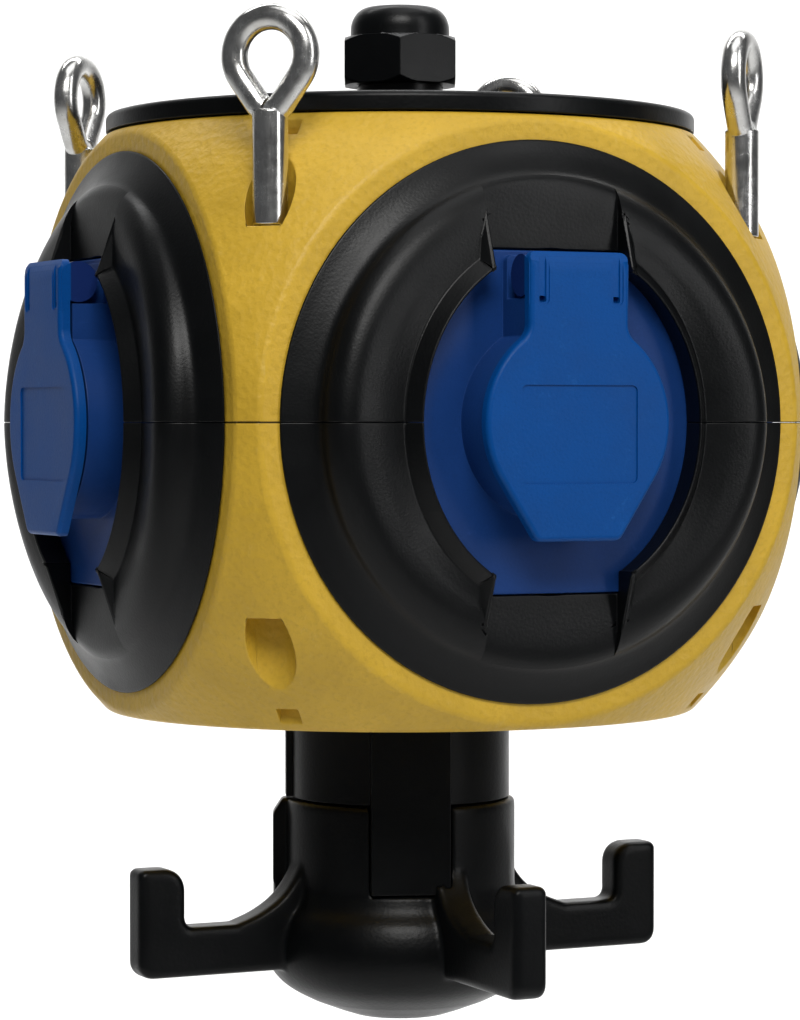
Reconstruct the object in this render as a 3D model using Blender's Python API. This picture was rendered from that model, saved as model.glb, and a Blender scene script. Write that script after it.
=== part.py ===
"""Hanging power distribution box: two moulded half shells clamped by four bolts, a lidded socket on each
side, four lifting eyes and a cable gland on top, and a ring of four cable hooks below.

All dimensions are millimetres, measured from the seam between the half shells on the vertical axis.
The model's origin is on that axis, at the height where the lifting eyes carry the box.
"""

import math

import bmesh
import bpy
from mathutils import Matrix, Vector

MM = 0.001
GAP = 0.3  # clearance between pieces that rest on each other
HANGING_HEIGHT = 95.7  # where the load bears in the lifting eyes
LARGE, MEDIUM, SMALL = 28, 16, 8  # facets round a piece, by its size

# Half shells: a ball cut flat on its four sides, top and bottom
BALL_RADIUS = 110.0
SIDE_PLANE = 80.0
END_PLANE = 77.0
WALL = 4.0
SEAM_HALF_GAP = 0.15
CORNER_RADIUS = 94.5  # of the four clamp bolts, on the diagonals
POST_RADIUS = 9.7
POCKET_RADIUS = 6.2
LEDGE_HEIGHT = 47.8
COUNTERBORE_RADIUS = 4.2
COUNTERBORE_TOP = 41.0
RIM_NOTCH = (5.8, 5.7, 4.5)  # width, radial depth and height of the small notch above each pocket
RIM_NOTCH_PLACE = (83.2, 73.3)  # its middle: radius and height
TOP_HOLE_RADIUS = 25.0
BOTTOM_HOLE_RADIUS = 29.8
SOCKET_HOLE_RADIUS = 24.4

# Bezels around the sockets; distances out from the vertical axis
BEZEL_BACK = SIDE_PLANE + GAP
BEZEL_SECTION = (
    (70.3, BEZEL_BACK),
    (62.4, 84.5),
    (60.0, 87.4),
    (57.2, 90.4),
    (54.0, 92.4),
    (50.5, 93.5),
    (44.1, 94.3),
)
BEZEL_MOUTH = (38.3, 42.9)  # half width and half height of the mouth
BEZEL_LIP = 92.3
NOTCH_HALF_WIDTH = 18.8
NOTCH_FLOOR = ((20.0, 87.0), (42.7, 87.0), (75.0, 82.9))

# Sockets
FLANGE_FRONT = 87.2
FLANGE_RADIUS = 46.5
FLANGE_FLAT = 42.4
COLLAR_RADIUS = 24.9
COLLAR_FRONT = 98.6
BARREL_RADIUS = 24.0
BARREL_BACK = 60.0
WELL_RADIUS = 19.7
WELL_BACK = 64.1
LEAD_HOLE_RADIUS = 6.0
INSERT_RADIUS = 19.0
INSERT_BACK, INSERT_FRONT = 65.6, 80.6
CONTACT_HOLE_RADIUS = 2.6
CONTACT_SPACING = 19.0
EARTH_HALF_WIDTH = 3.0
EARTH_OUTER, EARTH_THICKNESS = 18.9, 0.8
EARTH_BACK, EARTH_FRONT = 64.4, 92.0

# Lid and its hinge
PIN_HEIGHT = 35.8
PIN_OUT = 97.1
PIN_RADIUS = 1.5
PIN_HALF_LENGTH = 13.4
PIN_HOLE_RADIUS = 1.8
LID_BACK, LID_FRONT = 99.3, 102.3
LID_RADIUS = 25.4
LID_BOTTOM = -29.0
LID_BOTTOM_HALF_WIDTH = 11.5
TAB_HALF_WIDTH = 13.7
TAB_TOP = 41.5
TAB_FILLET = 5.0
TAB_WALL = 1.5
TAB_POCKET_BOTTOM = 30.5
CHEEK_INNER = 11.2
CHEEK_RADIUS = 5.2
CHEEK_FOOT = 28.5
CHEEK_INSET = 0.8  # how far the cheeks stay behind the front of the tab
SLOT_PLACE = 10.5
SLOT_SIZE = (2.4, 11.4, 0.6)
SLOT_MIDDLE = 34.3
LABEL_SIZE = (32.0, 24.1, 0.5)
LABEL_MIDDLE = -2.95
LABEL_CORNER = 1.5
SEAL_INNER, SEAL_OUTER = 20.5, 24.0
SEAL_BACK, SEAL_FRONT = 98.9, 100.7
KNUCKLE_HALF_WIDTH = 10.8
KNUCKLE_RADIUS = 3.3
KNUCKLE_ARM = (29.5, 36.4)
PEDESTAL_FRONT = 89.2
HINGE_WALL = (20.0, 30.3, 98.6)  # lower and upper edge and front of the block below the cheeks
SPRING_SLOT_HALF_WIDTH = 5.2
SPRING_SLOT = (31.8, 93.0)  # its lower edge and its floor
SPRING_RADIUS = 2.4
SPRING_WIRE_RADIUS = 0.3
SPRING_TURNS = 3
SPRING_PITCH = 2.4

# Lifting eyes and clamp bolts
SLEEVE_RADIUS = 4.4
SLEEVE_TOP = 76.3
SLEEVE_BORE_RADIUS = 3.2
SLEEVE_BORE_TOP = 62.0
EYE_WIRE_RADIUS = 3.3
EYE_RADIUS = 9.4
EYE_MIDDLE = 89.6
EYE_FOOT_RADIUS = 3.9
EYE_FOOT_MIDDLE = 80.0
BOLT_RADIUS = 2.9
BOLT_HOLE_RADIUS = 3.2
BOLT_HEAD_RADIUS = 3.9
BOLT_HEAD = (-47.2, -41.3)
BOLT_TOP = 60.0
BOLT_KEY = (2.2, 2.8)  # hexagon across-corner radius and depth of the key recess

# Top disc and gland
DISC_RADIUS = 79.0
DISC_TOP = 82.2
DISC_CHAMFER = 1.4
DISC_HOLE_RADIUS = 12.8
SPIGOT_RADIUS = 24.2
SPIGOT_BOTTOM = 72.5
DISC_GROOVE = (29.7, 33.3, 1.5)
GLAND_THREAD_RADIUS = 12.4
GLAND_BOTTOM = 64.0
GLAND_FOOT_RADIUS = 14.6
GLAND_FOOT_TOP = 84.0
GLAND_COLLAR_RADIUS = 11.55
GLAND_COLLAR_TOP = 90.2
GLAND_NECK_RADIUS = 10.8
GLAND_NECK_TOP = 100.0
GLAND_BORE_RADIUS = 8.0
CAP_ACROSS_FLATS = 29.7
CAP_HEX_TOP = 103.3
CAP_TURN = 4.6  # degrees the hexagon stands round from square
CAP_DOME_RADIUS = 13.3
CAP_DOME_FOOT = 0.25  # share of the dome that rises straight
CAP_BORE_RADIUS = 11.1
CAP_TOP = 111.5
CAP_TOP_RADIUS = 8.2
CAP_MOUTH_RADIUS = 6.8
CAP_BORE_TOP = 108.0
GLAND_SEAL_RADII = (6.3, 10.8)
LOCKNUT_ACROSS_FLATS = 33.0
LOCKNUT = (66.5, 72.2)

# Neck and hook ring; heights are below the seam
NECK_RADIUS = 29.5
NECK_BORE_RADIUS = 25.0
NECK_LOW_BORE_RADIUS = 22.5
NECK_FLANGE_RADIUS = 36.0
NECK_FLANGE = (-72.7, -69.7)
NECK_SHOULDER = -100.7
SPIGOT_LOW_RADIUS = 26.0
SPIGOT_LOW_BOTTOM = -124.0
NECK_FLOOR_TOP = -120.0
KEY_HALF_WIDTH = 10.5
KEY_RADIUS = 31.2
KEY_INNER = 23.5
KEY_TURN = -20.0  # degrees round from the front
RIB_TURN = -112.0
RIB_RADIUS = 34.4
RIB_HALF_WIDTH = 3.5
NECK_RIB_RADIUS = 31.0
RIB_SECTION = ((5.0, -101.0), (2.6, -101.0), (0.0, -105.0), (0.0, -124.0), (2.0, -131.0), (5.0, -131.0))
HOOK_BOLT_HOLE_RADIUS = 3.6
RING_SECTION = (
    (30.0, -101.0),
    (31.0, -102.2),
    (31.0, -124.5),
    (32.3, -128.5),
    (34.8, -132.2),
    (36.4, -137.0),
    (36.7, -141.5),
    (35.8, -145.5),
    (33.2, -149.4),
    (29.5, -152.4),
    (24.0, -155.3),
    (17.0, -158.0),
    (12.5, -159.5),
    (7.0, -159.5),
    (7.0, -152.5),
)
HOOK_HALF_WIDTH = 4.85
HOOK_OUTER = 77.0
HOOK_TIP_INNER = 64.1
HOOK_TIP_TOP = -116.8
HOOK_BOTTOM = -145.5
HOOK_ARM_TOP = -132.4
HOOK_BOLT_RADIUS = 3.2
HOOK_BOLT_HEAD = (-157.4, -152.8)
HOOK_BOLT_TOP = -111.0
HOOK_NUT = (-119.7, -114.7)
HOOK_NUT_ACROSS_FLATS = 11.0

# Inside
TERMINAL_BLOCK = (36.0, 26.0, 14.0)
TERMINAL_HOLES = 4
TERMINAL_HOLE_RADIUS = 2.4
LEAD_RADIUS = 3.0
LEAD_REACH, LEAD_DROP = 62.5, 16.0
SLEEVE_OF_LEADS = (6.0, 7.6, 22.0)

SIDES = {"front": 0.0, "right": 90.0, "back": 180.0, "left": 270.0}
CORNERS = {"front_right": -45.0, "back_right": 45.0, "back_left": 135.0, "front_left": 225.0}

YELLOW = (0.62, 0.36, 0.03)
BLACK = (0.012, 0.013, 0.015)
BLUE = (0.012, 0.10, 0.36)
DARK_BLUE = (0.02, 0.045, 0.22)
ZINC = (0.62, 0.62, 0.60)
DARK_RUBBER = (0.02, 0.02, 0.02)
BRASS = (0.70, 0.50, 0.18)
GREY = (0.25, 0.26, 0.27)


def clear_scene():
    for obj in list(bpy.data.objects):
        bpy.data.objects.remove(obj, do_unlink=True)


def make_material(name, colour, roughness, metallic=0.0):
    material = bpy.data.materials.new(name)
    material.use_nodes = True
    shader = material.node_tree.nodes["Principled BSDF"]
    shader.inputs["Base Color"].default_value = (*colour, 1.0)
    shader.inputs["Roughness"].default_value = roughness
    shader.inputs["Metallic"].default_value = metallic
    return material


# Solids -----------------------------------------------------------------------------------------------


def mesh_object(name, points, faces):
    """A closed mesh object from points in millimetres, with its faces turned outwards."""
    bm = bmesh.new()
    vertices = [bm.verts.new(Vector(point) * MM) for point in points]
    for face in faces:
        bm.faces.new([vertices[index] for index in face])
    bmesh.ops.recalc_face_normals(bm, faces=bm.faces[:])
    mesh = bpy.data.meshes.new(name)
    bm.to_mesh(mesh)
    bm.free()
    obj = bpy.data.objects.new(name, mesh)
    bpy.context.scene.collection.objects.link(obj)
    return obj


def lathe(name, section, segments=MEDIUM):
    """Turns a closed section of (radius, height) about Z."""
    points, rings = [], []
    for radius, height in section:
        count = segments if radius > 0 else 1
        rings.append([len(points) + step for step in range(count)])
        for step in range(count):
            angle = 2 * math.pi * step / segments
            points.append((radius * math.cos(angle), radius * math.sin(angle), height))
    faces = []
    for here, there in zip(rings, rings[1:] + rings[:1]):
        for step in range(segments):
            after = (step + 1) % segments
            corners = [here[step % len(here)], here[after % len(here)]]
            corners += [there[after % len(there)], there[step % len(there)]]
            corners = list(dict.fromkeys(corners))
            if len(corners) > 2:
                faces.append(corners)
    return mesh_object(name, points, faces)


def sweep(name, sections, closed):
    """Bridges equal closed sections of 3-D points, round a loop or capped at both ends."""
    size = len(sections[0])
    points = [point for section in sections for point in section]
    spans = len(sections) if closed else len(sections) - 1
    faces = []
    for span in range(spans):
        start, end = span * size, (span + 1) % len(sections) * size
        for corner in range(size):
            after = (corner + 1) % size
            faces.append((start + corner, start + after, end + after, end + corner))
    if not closed:
        faces.append(tuple(range(size)))
        faces.append(tuple(range(len(points) - size, len(points))))
    return mesh_object(name, points, faces)


def prism(name, outline, low, high):
    """An outline of (x, y) extruded along Z from low to high."""
    return sweep(name, [[(x, y, height) for x, y in outline] for height in (low, high)], False)


def prism_across(name, outline, low, high):
    """An outline of (y, z) extruded along X from low to high."""
    return sweep(name, [[(across, y, z) for y, z in outline] for across in (low, high)], False)


def block(name, low, high):
    outline = [(low[0], low[1]), (high[0], low[1]), (high[0], high[1]), (low[0], high[1])]
    return prism(name, outline, low[2], high[2])


def arc(centre, radius, start, end, steps):
    """Points round an arc; angles in degrees."""
    angles = [math.radians(start + (end - start) * step / steps) for step in range(steps + 1)]
    return [(centre[0] + radius * math.cos(a), centre[1] + radius * math.sin(a)) for a in angles]


def circle(centre, radius, segments=SMALL):
    return arc(centre, radius, 0, 360 * (segments - 1) / segments, segments - 1)


def hexagon(across_flats, turn=0.0):
    radius = across_flats / math.sqrt(3)
    return arc((0, 0), radius, turn, turn + 300, 5)


def rounded(corners, steps=4):
    """An outline with each (x, y, radius) corner turned into an arc."""
    outline = []
    for index, (x, y, radius) in enumerate(corners):
        corner = Vector((x, y))
        before = Vector(corners[index - 1][:2]) - corner
        after = Vector(corners[(index + 1) % len(corners)][:2]) - corner
        if radius == 0:
            outline.append((x, y))
            continue
        half = before.angle(after) / 2
        middle = corner + (before.normalized() + after.normalized()).normalized() * radius / math.sin(half)
        first = corner + before.normalized() * radius / math.tan(half) - middle
        last = corner + after.normalized() * radius / math.tan(half) - middle
        turn = first.angle_signed(last)
        for step in range(steps + 1):
            spoke = Matrix.Rotation(-turn * step / steps, 2) @ first
            outline.append((middle.x + spoke.x, middle.y + spoke.y))
    return outline


def boolean(target, tool, operation="DIFFERENCE"):
    """Cuts, joins or intersects the target with the tool, and removes the tool."""
    modifier = target.modifiers.new("boolean", "BOOLEAN")
    modifier.operation = operation
    modifier.object = tool
    bpy.context.view_layer.update()
    graph = bpy.context.evaluated_depsgraph_get()
    mesh = bpy.data.meshes.new_from_object(target.evaluated_get(graph))
    target.modifiers.clear()
    target.data = mesh
    bpy.data.objects.remove(tool, do_unlink=True)
    return target


def moved(obj, matrix):
    obj.data.transform(matrix)
    obj.data.update()
    return obj


def shifted(obj, x, y, z):
    return moved(obj, Matrix.Translation(Vector((x, y, z)) * MM))


def turned(obj, degrees):
    return moved(obj, Matrix.Rotation(math.radians(degrees), 4, "Z"))


def at_radius(obj, radius, degrees):
    """Moves a tool from the axis out to a radius, in the direction of an angle from +X."""
    return turned(shifted(obj, radius, 0, 0), degrees)


def finish(obj, material, parent, angle=35):
    obj.data.materials.clear()
    obj.data.materials.append(material)
    obj.data.shade_smooth()
    obj.data.set_sharp_from_angle(angle=math.radians(angle))
    obj.parent = parent
    return obj


def copy_of(name, source, parent, rotation=(0, 0, 0)):
    """Another object with the same mesh, placed by its parent."""
    obj = bpy.data.objects.new(name, source.data)
    bpy.context.scene.collection.objects.link(obj)
    obj.parent = parent
    obj.rotation_euler = rotation
    return obj


def empty(name, parent=None, location=(0, 0, 0), rotation=(0, 0, 0)):
    obj = bpy.data.objects.new(name, None)
    bpy.context.scene.collection.objects.link(obj)
    obj.parent = parent
    obj.location = Vector(location) * MM
    obj.rotation_euler = [math.radians(angle) for angle in rotation]
    return obj


# Half shells ------------------------------------------------------------------------------------------


def cut_ball(name, radius, side, low, high, segments, steps):
    """The upper part of a ball between two heights, with its four sides cut flat."""
    start = math.degrees(math.asin(max(low, 0.0) / radius))
    end = math.degrees(math.asin(high / radius))
    section = [(0.0, low)]
    if low < 0:
        section.append((radius, low))
    section += arc((0, 0), radius, start, end, steps)
    section.append((0.0, high))
    ball = lathe(name, section, segments)
    return boolean(ball, block("sides", (-side, -side, low - 5), (side, side, high + 5)), "INTERSECT")


def half_shell(name, hole_radius, bolt_head_pocket):
    """The upper half; the lower one is the same piece turned over, with its own holes."""
    shell = cut_ball(name, BALL_RADIUS, SIDE_PLANE, SEAM_HALF_GAP, END_PLANE, LARGE, 6)
    cavity = cut_ball("cavity", BALL_RADIUS - WALL, SIDE_PLANE - WALL, -2.0, END_PLANE - WALL, MEDIUM, 3)
    for degrees in CORNERS.values():
        post = lathe("post", [(0, -5), (POST_RADIUS, -5), (POST_RADIUS, 90), (0, 90)], 12)
        boolean(cavity, at_radius(post, CORNER_RADIUS, degrees))
    boolean(shell, cavity)
    boolean(shell, lathe("hole", [(0, 60), (hole_radius, 60), (hole_radius, 90), (0, 90)]))
    for degrees in SIDES.values():
        hole = lathe("hole", [(0, 65), (SOCKET_HOLE_RADIUS, 65), (SOCKET_HOLE_RADIUS, 90), (0, 90)])
        moved(hole, Matrix.Rotation(math.radians(90), 4, "X"))
        boolean(shell, turned(hole, degrees))
    for degrees in CORNERS.values():
        section = [(0, -5), (BOLT_HOLE_RADIUS, -5)]
        if bolt_head_pocket:
            section += [(BOLT_HOLE_RADIUS, COUNTERBORE_TOP), (COUNTERBORE_RADIUS, COUNTERBORE_TOP)]
            section.append((COUNTERBORE_RADIUS, LEDGE_HEIGHT))
        else:
            section.append((BOLT_HOLE_RADIUS, LEDGE_HEIGHT))
        section += [(POCKET_RADIUS, LEDGE_HEIGHT), (POCKET_RADIUS, 90), (0, 90)]
        boolean(shell, at_radius(lathe("pocket", section, 12), CORNER_RADIUS, degrees))
        width, depth, height = RIM_NOTCH
        radius, middle = RIM_NOTCH_PLACE
        low = (-depth / 2, -width / 2, middle - height / 2)
        high = (depth / 2, width / 2, middle + height / 2)
        boolean(shell, at_radius(block("notch", low, high), radius, degrees))
    return shell


# Side assemblies: X to the right, Y up and Z outwards from the vertical axis --------------------------


def bezel_half():
    """The upper half of a bezel: a turned section with an oval mouth, and a notch above the lid."""
    half_width, half_height = BEZEL_MOUTH
    sections = []
    for step in range(LARGE):
        angle = 2 * math.pi * step / LARGE
        mouth = half_width * half_height / math.hypot(
            half_height * math.cos(angle), half_width * math.sin(angle)
        )
        section = [*BEZEL_SECTION, (mouth, BEZEL_LIP), (mouth, BEZEL_BACK)]
        sections.append([(r * math.cos(angle), r * math.sin(angle), out) for r, out in section])
    bezel = sweep("bezel", sections, True)
    boolean(bezel, flange_disc("rebate", GAP, 75, FLANGE_FRONT + GAP))
    notch = [*NOTCH_FLOOR, (75, 105), (20, 105)]
    boolean(bezel, prism_across("notch", notch, -NOTCH_HALF_WIDTH, NOTCH_HALF_WIDTH))
    return boolean(bezel, block("half", (-90, SEAM_HALF_GAP, 70), (90, 90, 105)), "INTERSECT")


def flange_disc(name, margin, low, high):
    """The socket flange's outline: a disc cut flat above and below."""
    radius, flat = FLANGE_RADIUS + margin, FLANGE_FLAT + margin
    limit = math.degrees(math.asin(flat / radius))
    outline = arc((0, 0), radius, -limit, limit, 8) + arc((0, 0), radius, 180 - limit, 180 + limit, 8)
    return prism(name, outline, low, high)


def socket_body():
    """Flange, collar, rear barrel and hinge block in one moulding, with a round well open to the front."""
    body = flange_disc("socket_body", 0, SIDE_PLANE + GAP, FLANGE_FRONT)
    outside = [(0, BARREL_BACK), (BARREL_RADIUS, BARREL_BACK), (BARREL_RADIUS, 84)]
    outside += [(COLLAR_RADIUS, 84), (COLLAR_RADIUS, COLLAR_FRONT), (0, COLLAR_FRONT)]
    boolean(body, lathe("barrel", outside), "UNION")
    low, high, front = HINGE_WALL
    boolean(body, block("wall", (-PIN_HALF_LENGTH, low, 85), (PIN_HALF_LENGTH, high, front)), "UNION")
    pedestal_high = (PIN_HALF_LENGTH, TAB_TOP - 0.5, PEDESTAL_FRONT)
    boolean(body, block("pedestal", (-PIN_HALF_LENGTH, high - 1, 85), pedestal_high), "UNION")
    low, high = KNUCKLE_ARM
    arm = [(low, 85), (high, 85), (high, PIN_OUT), (low, PIN_OUT)]
    boolean(body, prism_across("arm", arm, -KNUCKLE_HALF_WIDTH, KNUCKLE_HALF_WIDTH), "UNION")
    knuckle = circle((PIN_HEIGHT, PIN_OUT), KNUCKLE_RADIUS)
    boolean(body, prism_across("knuckle", knuckle, -KNUCKLE_HALF_WIDTH, KNUCKLE_HALF_WIDTH), "UNION")
    low, floor = SPRING_SLOT
    slot = [(low, floor), (45, floor), (45, 105), (low, 105)]
    boolean(body, prism_across("slot", slot, -SPRING_SLOT_HALF_WIDTH, SPRING_SLOT_HALF_WIDTH))
    boolean(body, prism_across("pin_hole", circle((PIN_HEIGHT, PIN_OUT), PIN_HOLE_RADIUS), -20, 20))
    well = [(0, 50), (LEAD_HOLE_RADIUS, 50), (LEAD_HOLE_RADIUS, WELL_BACK), (WELL_RADIUS, WELL_BACK)]
    well += [(WELL_RADIUS, 110), (0, 110)]
    return boolean(body, lathe("well", well))


def socket_insert():
    """The contact carrier at the bottom of the well, with two contact holes and room for the earth clip."""
    half_width = EARTH_HALF_WIDTH + 0.4
    inner = EARTH_OUTER - EARTH_THICKNESS - 0.4
    limit = math.degrees(math.acos(half_width / INSERT_RADIUS))
    right = [(half_width, -inner), *arc((0, 0), INSERT_RADIUS, -limit, limit, 9), (half_width, inner)]
    outline = right + [(-x, y) for x, y in reversed(right)]
    insert = prism("socket_insert", outline, INSERT_BACK, INSERT_FRONT)
    for side in (-1, 1):
        hole = prism("hole", circle((side * CONTACT_SPACING / 2, 0), CONTACT_HOLE_RADIUS), 60, 90)
        boolean(insert, hole)
    return insert


def earth_clip():
    """One bent strip: it lies behind the insert and shows as a spring tab above and below the contacts."""
    outer, inner = EARTH_OUTER, EARTH_OUTER - EARTH_THICKNESS
    bend = EARTH_BACK + EARTH_THICKNESS
    half = [(inner, bend), (inner, 85), (inner - 1.2, 88), (inner, EARTH_FRONT)]
    half += [(outer, EARTH_FRONT), (outer - 1.2, 88), (outer, 85), (outer, EARTH_BACK)]
    mirrored = [(-height, out) for height, out in reversed(half)]
    return prism_across("earth_clip", half + mirrored, -EARTH_HALF_WIDTH, EARTH_HALF_WIDTH)


def lid_outline():
    """A round lid with a hinge tab above and a tapered finger lip below."""
    tab_side = TAB_HALF_WIDTH + TAB_FILLET
    fillet_height = math.sqrt((LID_RADIUS + TAB_FILLET) ** 2 - tab_side**2)
    shoulder = math.degrees(math.atan2(fillet_height, tab_side))
    lip = Vector((LID_BOTTOM_HALF_WIDTH, LID_BOTTOM))
    lip_angle = math.degrees(math.atan2(lip.y, lip.x) + math.acos(LID_RADIUS / lip.length))
    right = arc((TAB_HALF_WIDTH - 2, TAB_TOP - 2), 2, 90, 0, 2)
    right += arc((tab_side, fillet_height), TAB_FILLET, 180, 180 + shoulder, 3)
    right += arc((0, 0), LID_RADIUS, shoulder, lip_angle, 6)[1:]
    right += rounded([(*right[-1], 0), (*lip, 2.5), (0, LID_BOTTOM, 0)], 2)[1:-1]
    return right + [(-x, y) for x, y in reversed(right)]


def lid():
    """Plate with finger lip, label recess and seal groove, and a hinge tab with two cheeks round the pin."""
    plate = prism("lid", lid_outline(), LID_BACK, LID_FRONT)
    pocket_front = LID_FRONT - TAB_WALL
    low = (-CHEEK_INNER, TAB_POCKET_BOTTOM, LID_BACK - 1)
    boolean(plate, block("pocket", low, (CHEEK_INNER, TAB_TOP + 5, pocket_front)))
    cheek = arc((PIN_HEIGHT, PIN_OUT), CHEEK_RADIUS, 0, -205, 6)
    front = LID_FRONT - CHEEK_INSET
    cheek += [(CHEEK_FOOT, LID_BACK + GAP), (CHEEK_FOOT, front), (TAB_TOP - 1.2, front)]
    for side in (-1, 1):
        limits = sorted((side * CHEEK_INNER, side * TAB_HALF_WIDTH))
        boolean(plate, prism_across("cheek", cheek, *limits), "UNION")
        width, height, depth = SLOT_SIZE
        middle = side * SLOT_PLACE
        low = (middle - width / 2, SLOT_MIDDLE - height / 2, LID_FRONT - depth)
        high = (middle + width / 2, SLOT_MIDDLE + height / 2, LID_FRONT + 1)
        boolean(plate, block("slot", low, high))
    boolean(plate, prism_across("pin_hole", circle((PIN_HEIGHT, PIN_OUT), PIN_HOLE_RADIUS), -20, 20))
    groove = [(SEAL_INNER - GAP, LID_BACK - 1), (SEAL_OUTER + GAP, LID_BACK - 1)]
    groove += [(SEAL_OUTER + GAP, SEAL_FRONT + GAP), (SEAL_INNER - GAP, SEAL_FRONT + GAP)]
    boolean(plate, lathe("groove", groove))
    width, height, depth = LABEL_SIZE
    corners = [
        (side * width / 2, LABEL_MIDDLE + end * height / 2, LABEL_CORNER)
        for side, end in ((-1, -1), (1, -1), (1, 1), (-1, 1))
    ]
    return boolean(plate, prism("label", rounded(corners, 2), LID_FRONT - depth, LID_FRONT + 1))


def lid_seal():
    inner, outer, back, front = SEAL_INNER, SEAL_OUTER, SEAL_BACK, SEAL_FRONT
    return lathe("lid_seal", [(inner, back), (outer, back), (outer, front), (inner, front)])


def lid_pin():
    """On the hinge axis, along X."""
    return prism_across("lid_pin", circle((0, 0), PIN_RADIUS), -PIN_HALF_LENGTH, PIN_HALF_LENGTH)


def lid_spring():
    """A torsion spring round the pin: a coil along X."""
    steps = SPRING_TURNS * 8
    sections = []
    for step in range(steps + 1):
        angle = 2 * math.pi * step / 8
        along = SPRING_PITCH * (step / 8 - SPRING_TURNS / 2)
        outward = Vector((0, math.cos(angle), math.sin(angle)))
        middle = outward * SPRING_RADIUS + Vector((along, 0, 0))
        section = []
        for side in range(4):
            turn = 2 * math.pi * side / 4
            offset = outward * math.cos(turn) + Vector((1, 0, 0)) * math.sin(turn)
            section.append(tuple(middle + offset * SPRING_WIRE_RADIUS))
        sections.append(section)
    return sweep("lid_spring", sections, False)


# Corner fastenings, built on +X at their own radius ---------------------------------------------------


def eye_path():
    """The middle line of the eye: a wide arc over a narrow one, joined by straight flanks."""
    lean = math.degrees(math.asin((EYE_RADIUS - EYE_FOOT_RADIUS) / (EYE_MIDDLE - EYE_FOOT_MIDDLE)))
    top = arc((0, EYE_MIDDLE), EYE_RADIUS, -lean, 180 + lean, 12)
    foot = arc((0, EYE_FOOT_MIDDLE), EYE_FOOT_RADIUS, 180 + lean, 360 - lean, 3)
    return top + foot


def eye_nut():
    """A threaded sleeve with a closed wire eye on top; the eye faces along the radius."""
    bottom = LEDGE_HEIGHT + GAP
    section = [(SLEEVE_BORE_RADIUS, bottom), (SLEEVE_RADIUS, bottom), (SLEEVE_RADIUS, SLEEVE_TOP)]
    section += [(0, SLEEVE_TOP), (0, SLEEVE_BORE_TOP), (SLEEVE_BORE_RADIUS, SLEEVE_BORE_TOP)]
    nut = lathe("eye_nut", section, SMALL)
    path = eye_path()
    sections = []
    for index, (across, height) in enumerate(path):
        before, after = Vector(path[index - 1]), Vector(path[(index + 1) % len(path)])
        tangent = (after - before).normalized()
        section = []
        for side in range(6):
            turn = 2 * math.pi * (side + 0.5) / 6
            offset = EYE_WIRE_RADIUS * math.cos(turn)
            along = EYE_WIRE_RADIUS * math.sin(turn)
            section.append((along, across + offset * tangent.y, height - offset * tangent.x))
        sections.append(section)
    boolean(nut, sweep("eye", sections, True), "UNION")
    return shifted(nut, CORNER_RADIUS, 0, 0)


def clamp_bolt():
    low, high = BOLT_HEAD
    section = [(0, low), (BOLT_HEAD_RADIUS, low), (BOLT_HEAD_RADIUS, high), (BOLT_RADIUS, high)]
    section += [(BOLT_RADIUS, BOLT_TOP), (0, BOLT_TOP)]
    bolt = lathe("clamp_bolt", section, SMALL)
    radius, depth = BOLT_KEY
    boolean(bolt, prism("key", arc((0, 0), radius, 0, 300, 5), low - 1, low + depth))
    return shifted(bolt, CORNER_RADIUS, 0, 0)


# Top disc and gland -----------------------------------------------------------------------------------


def top_disc():
    bottom = END_PLANE + GAP
    groove_inner, groove_outer, groove_depth = DISC_GROOVE
    section = [(DISC_HOLE_RADIUS, SPIGOT_BOTTOM), (SPIGOT_RADIUS, SPIGOT_BOTTOM)]
    section += [(SPIGOT_RADIUS, bottom), (groove_inner, bottom), (groove_inner, bottom + groove_depth)]
    section += [(groove_outer, bottom + groove_depth), (groove_outer, bottom)]
    section += [(DISC_RADIUS, bottom), (DISC_RADIUS, DISC_TOP - DISC_CHAMFER)]
    section += [(DISC_RADIUS - DISC_CHAMFER, DISC_TOP), (DISC_HOLE_RADIUS, DISC_TOP)]
    return lathe("top_disc", section, LARGE)


def disc_seal():
    inner, outer, depth = DISC_GROOVE
    low, high = END_PLANE + GAP, END_PLANE + depth
    section = [(inner + GAP, low), (outer - GAP, low), (outer - GAP, high), (inner + GAP, high)]
    return lathe("disc_seal", section, LARGE)


def gland_body():
    foot = DISC_TOP + GAP
    section = [(GLAND_BORE_RADIUS, GLAND_BOTTOM), (GLAND_THREAD_RADIUS, GLAND_BOTTOM)]
    section += [(GLAND_THREAD_RADIUS, foot), (GLAND_FOOT_RADIUS, foot), (GLAND_FOOT_RADIUS, GLAND_FOOT_TOP)]
    section += [(GLAND_COLLAR_RADIUS, GLAND_FOOT_TOP), (GLAND_COLLAR_RADIUS, GLAND_COLLAR_TOP)]
    section += [(GLAND_NECK_RADIUS, GLAND_COLLAR_TOP), (GLAND_NECK_RADIUS, GLAND_NECK_TOP)]
    section.append((GLAND_BORE_RADIUS, GLAND_NECK_TOP))
    return lathe("gland_body", section)


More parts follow.
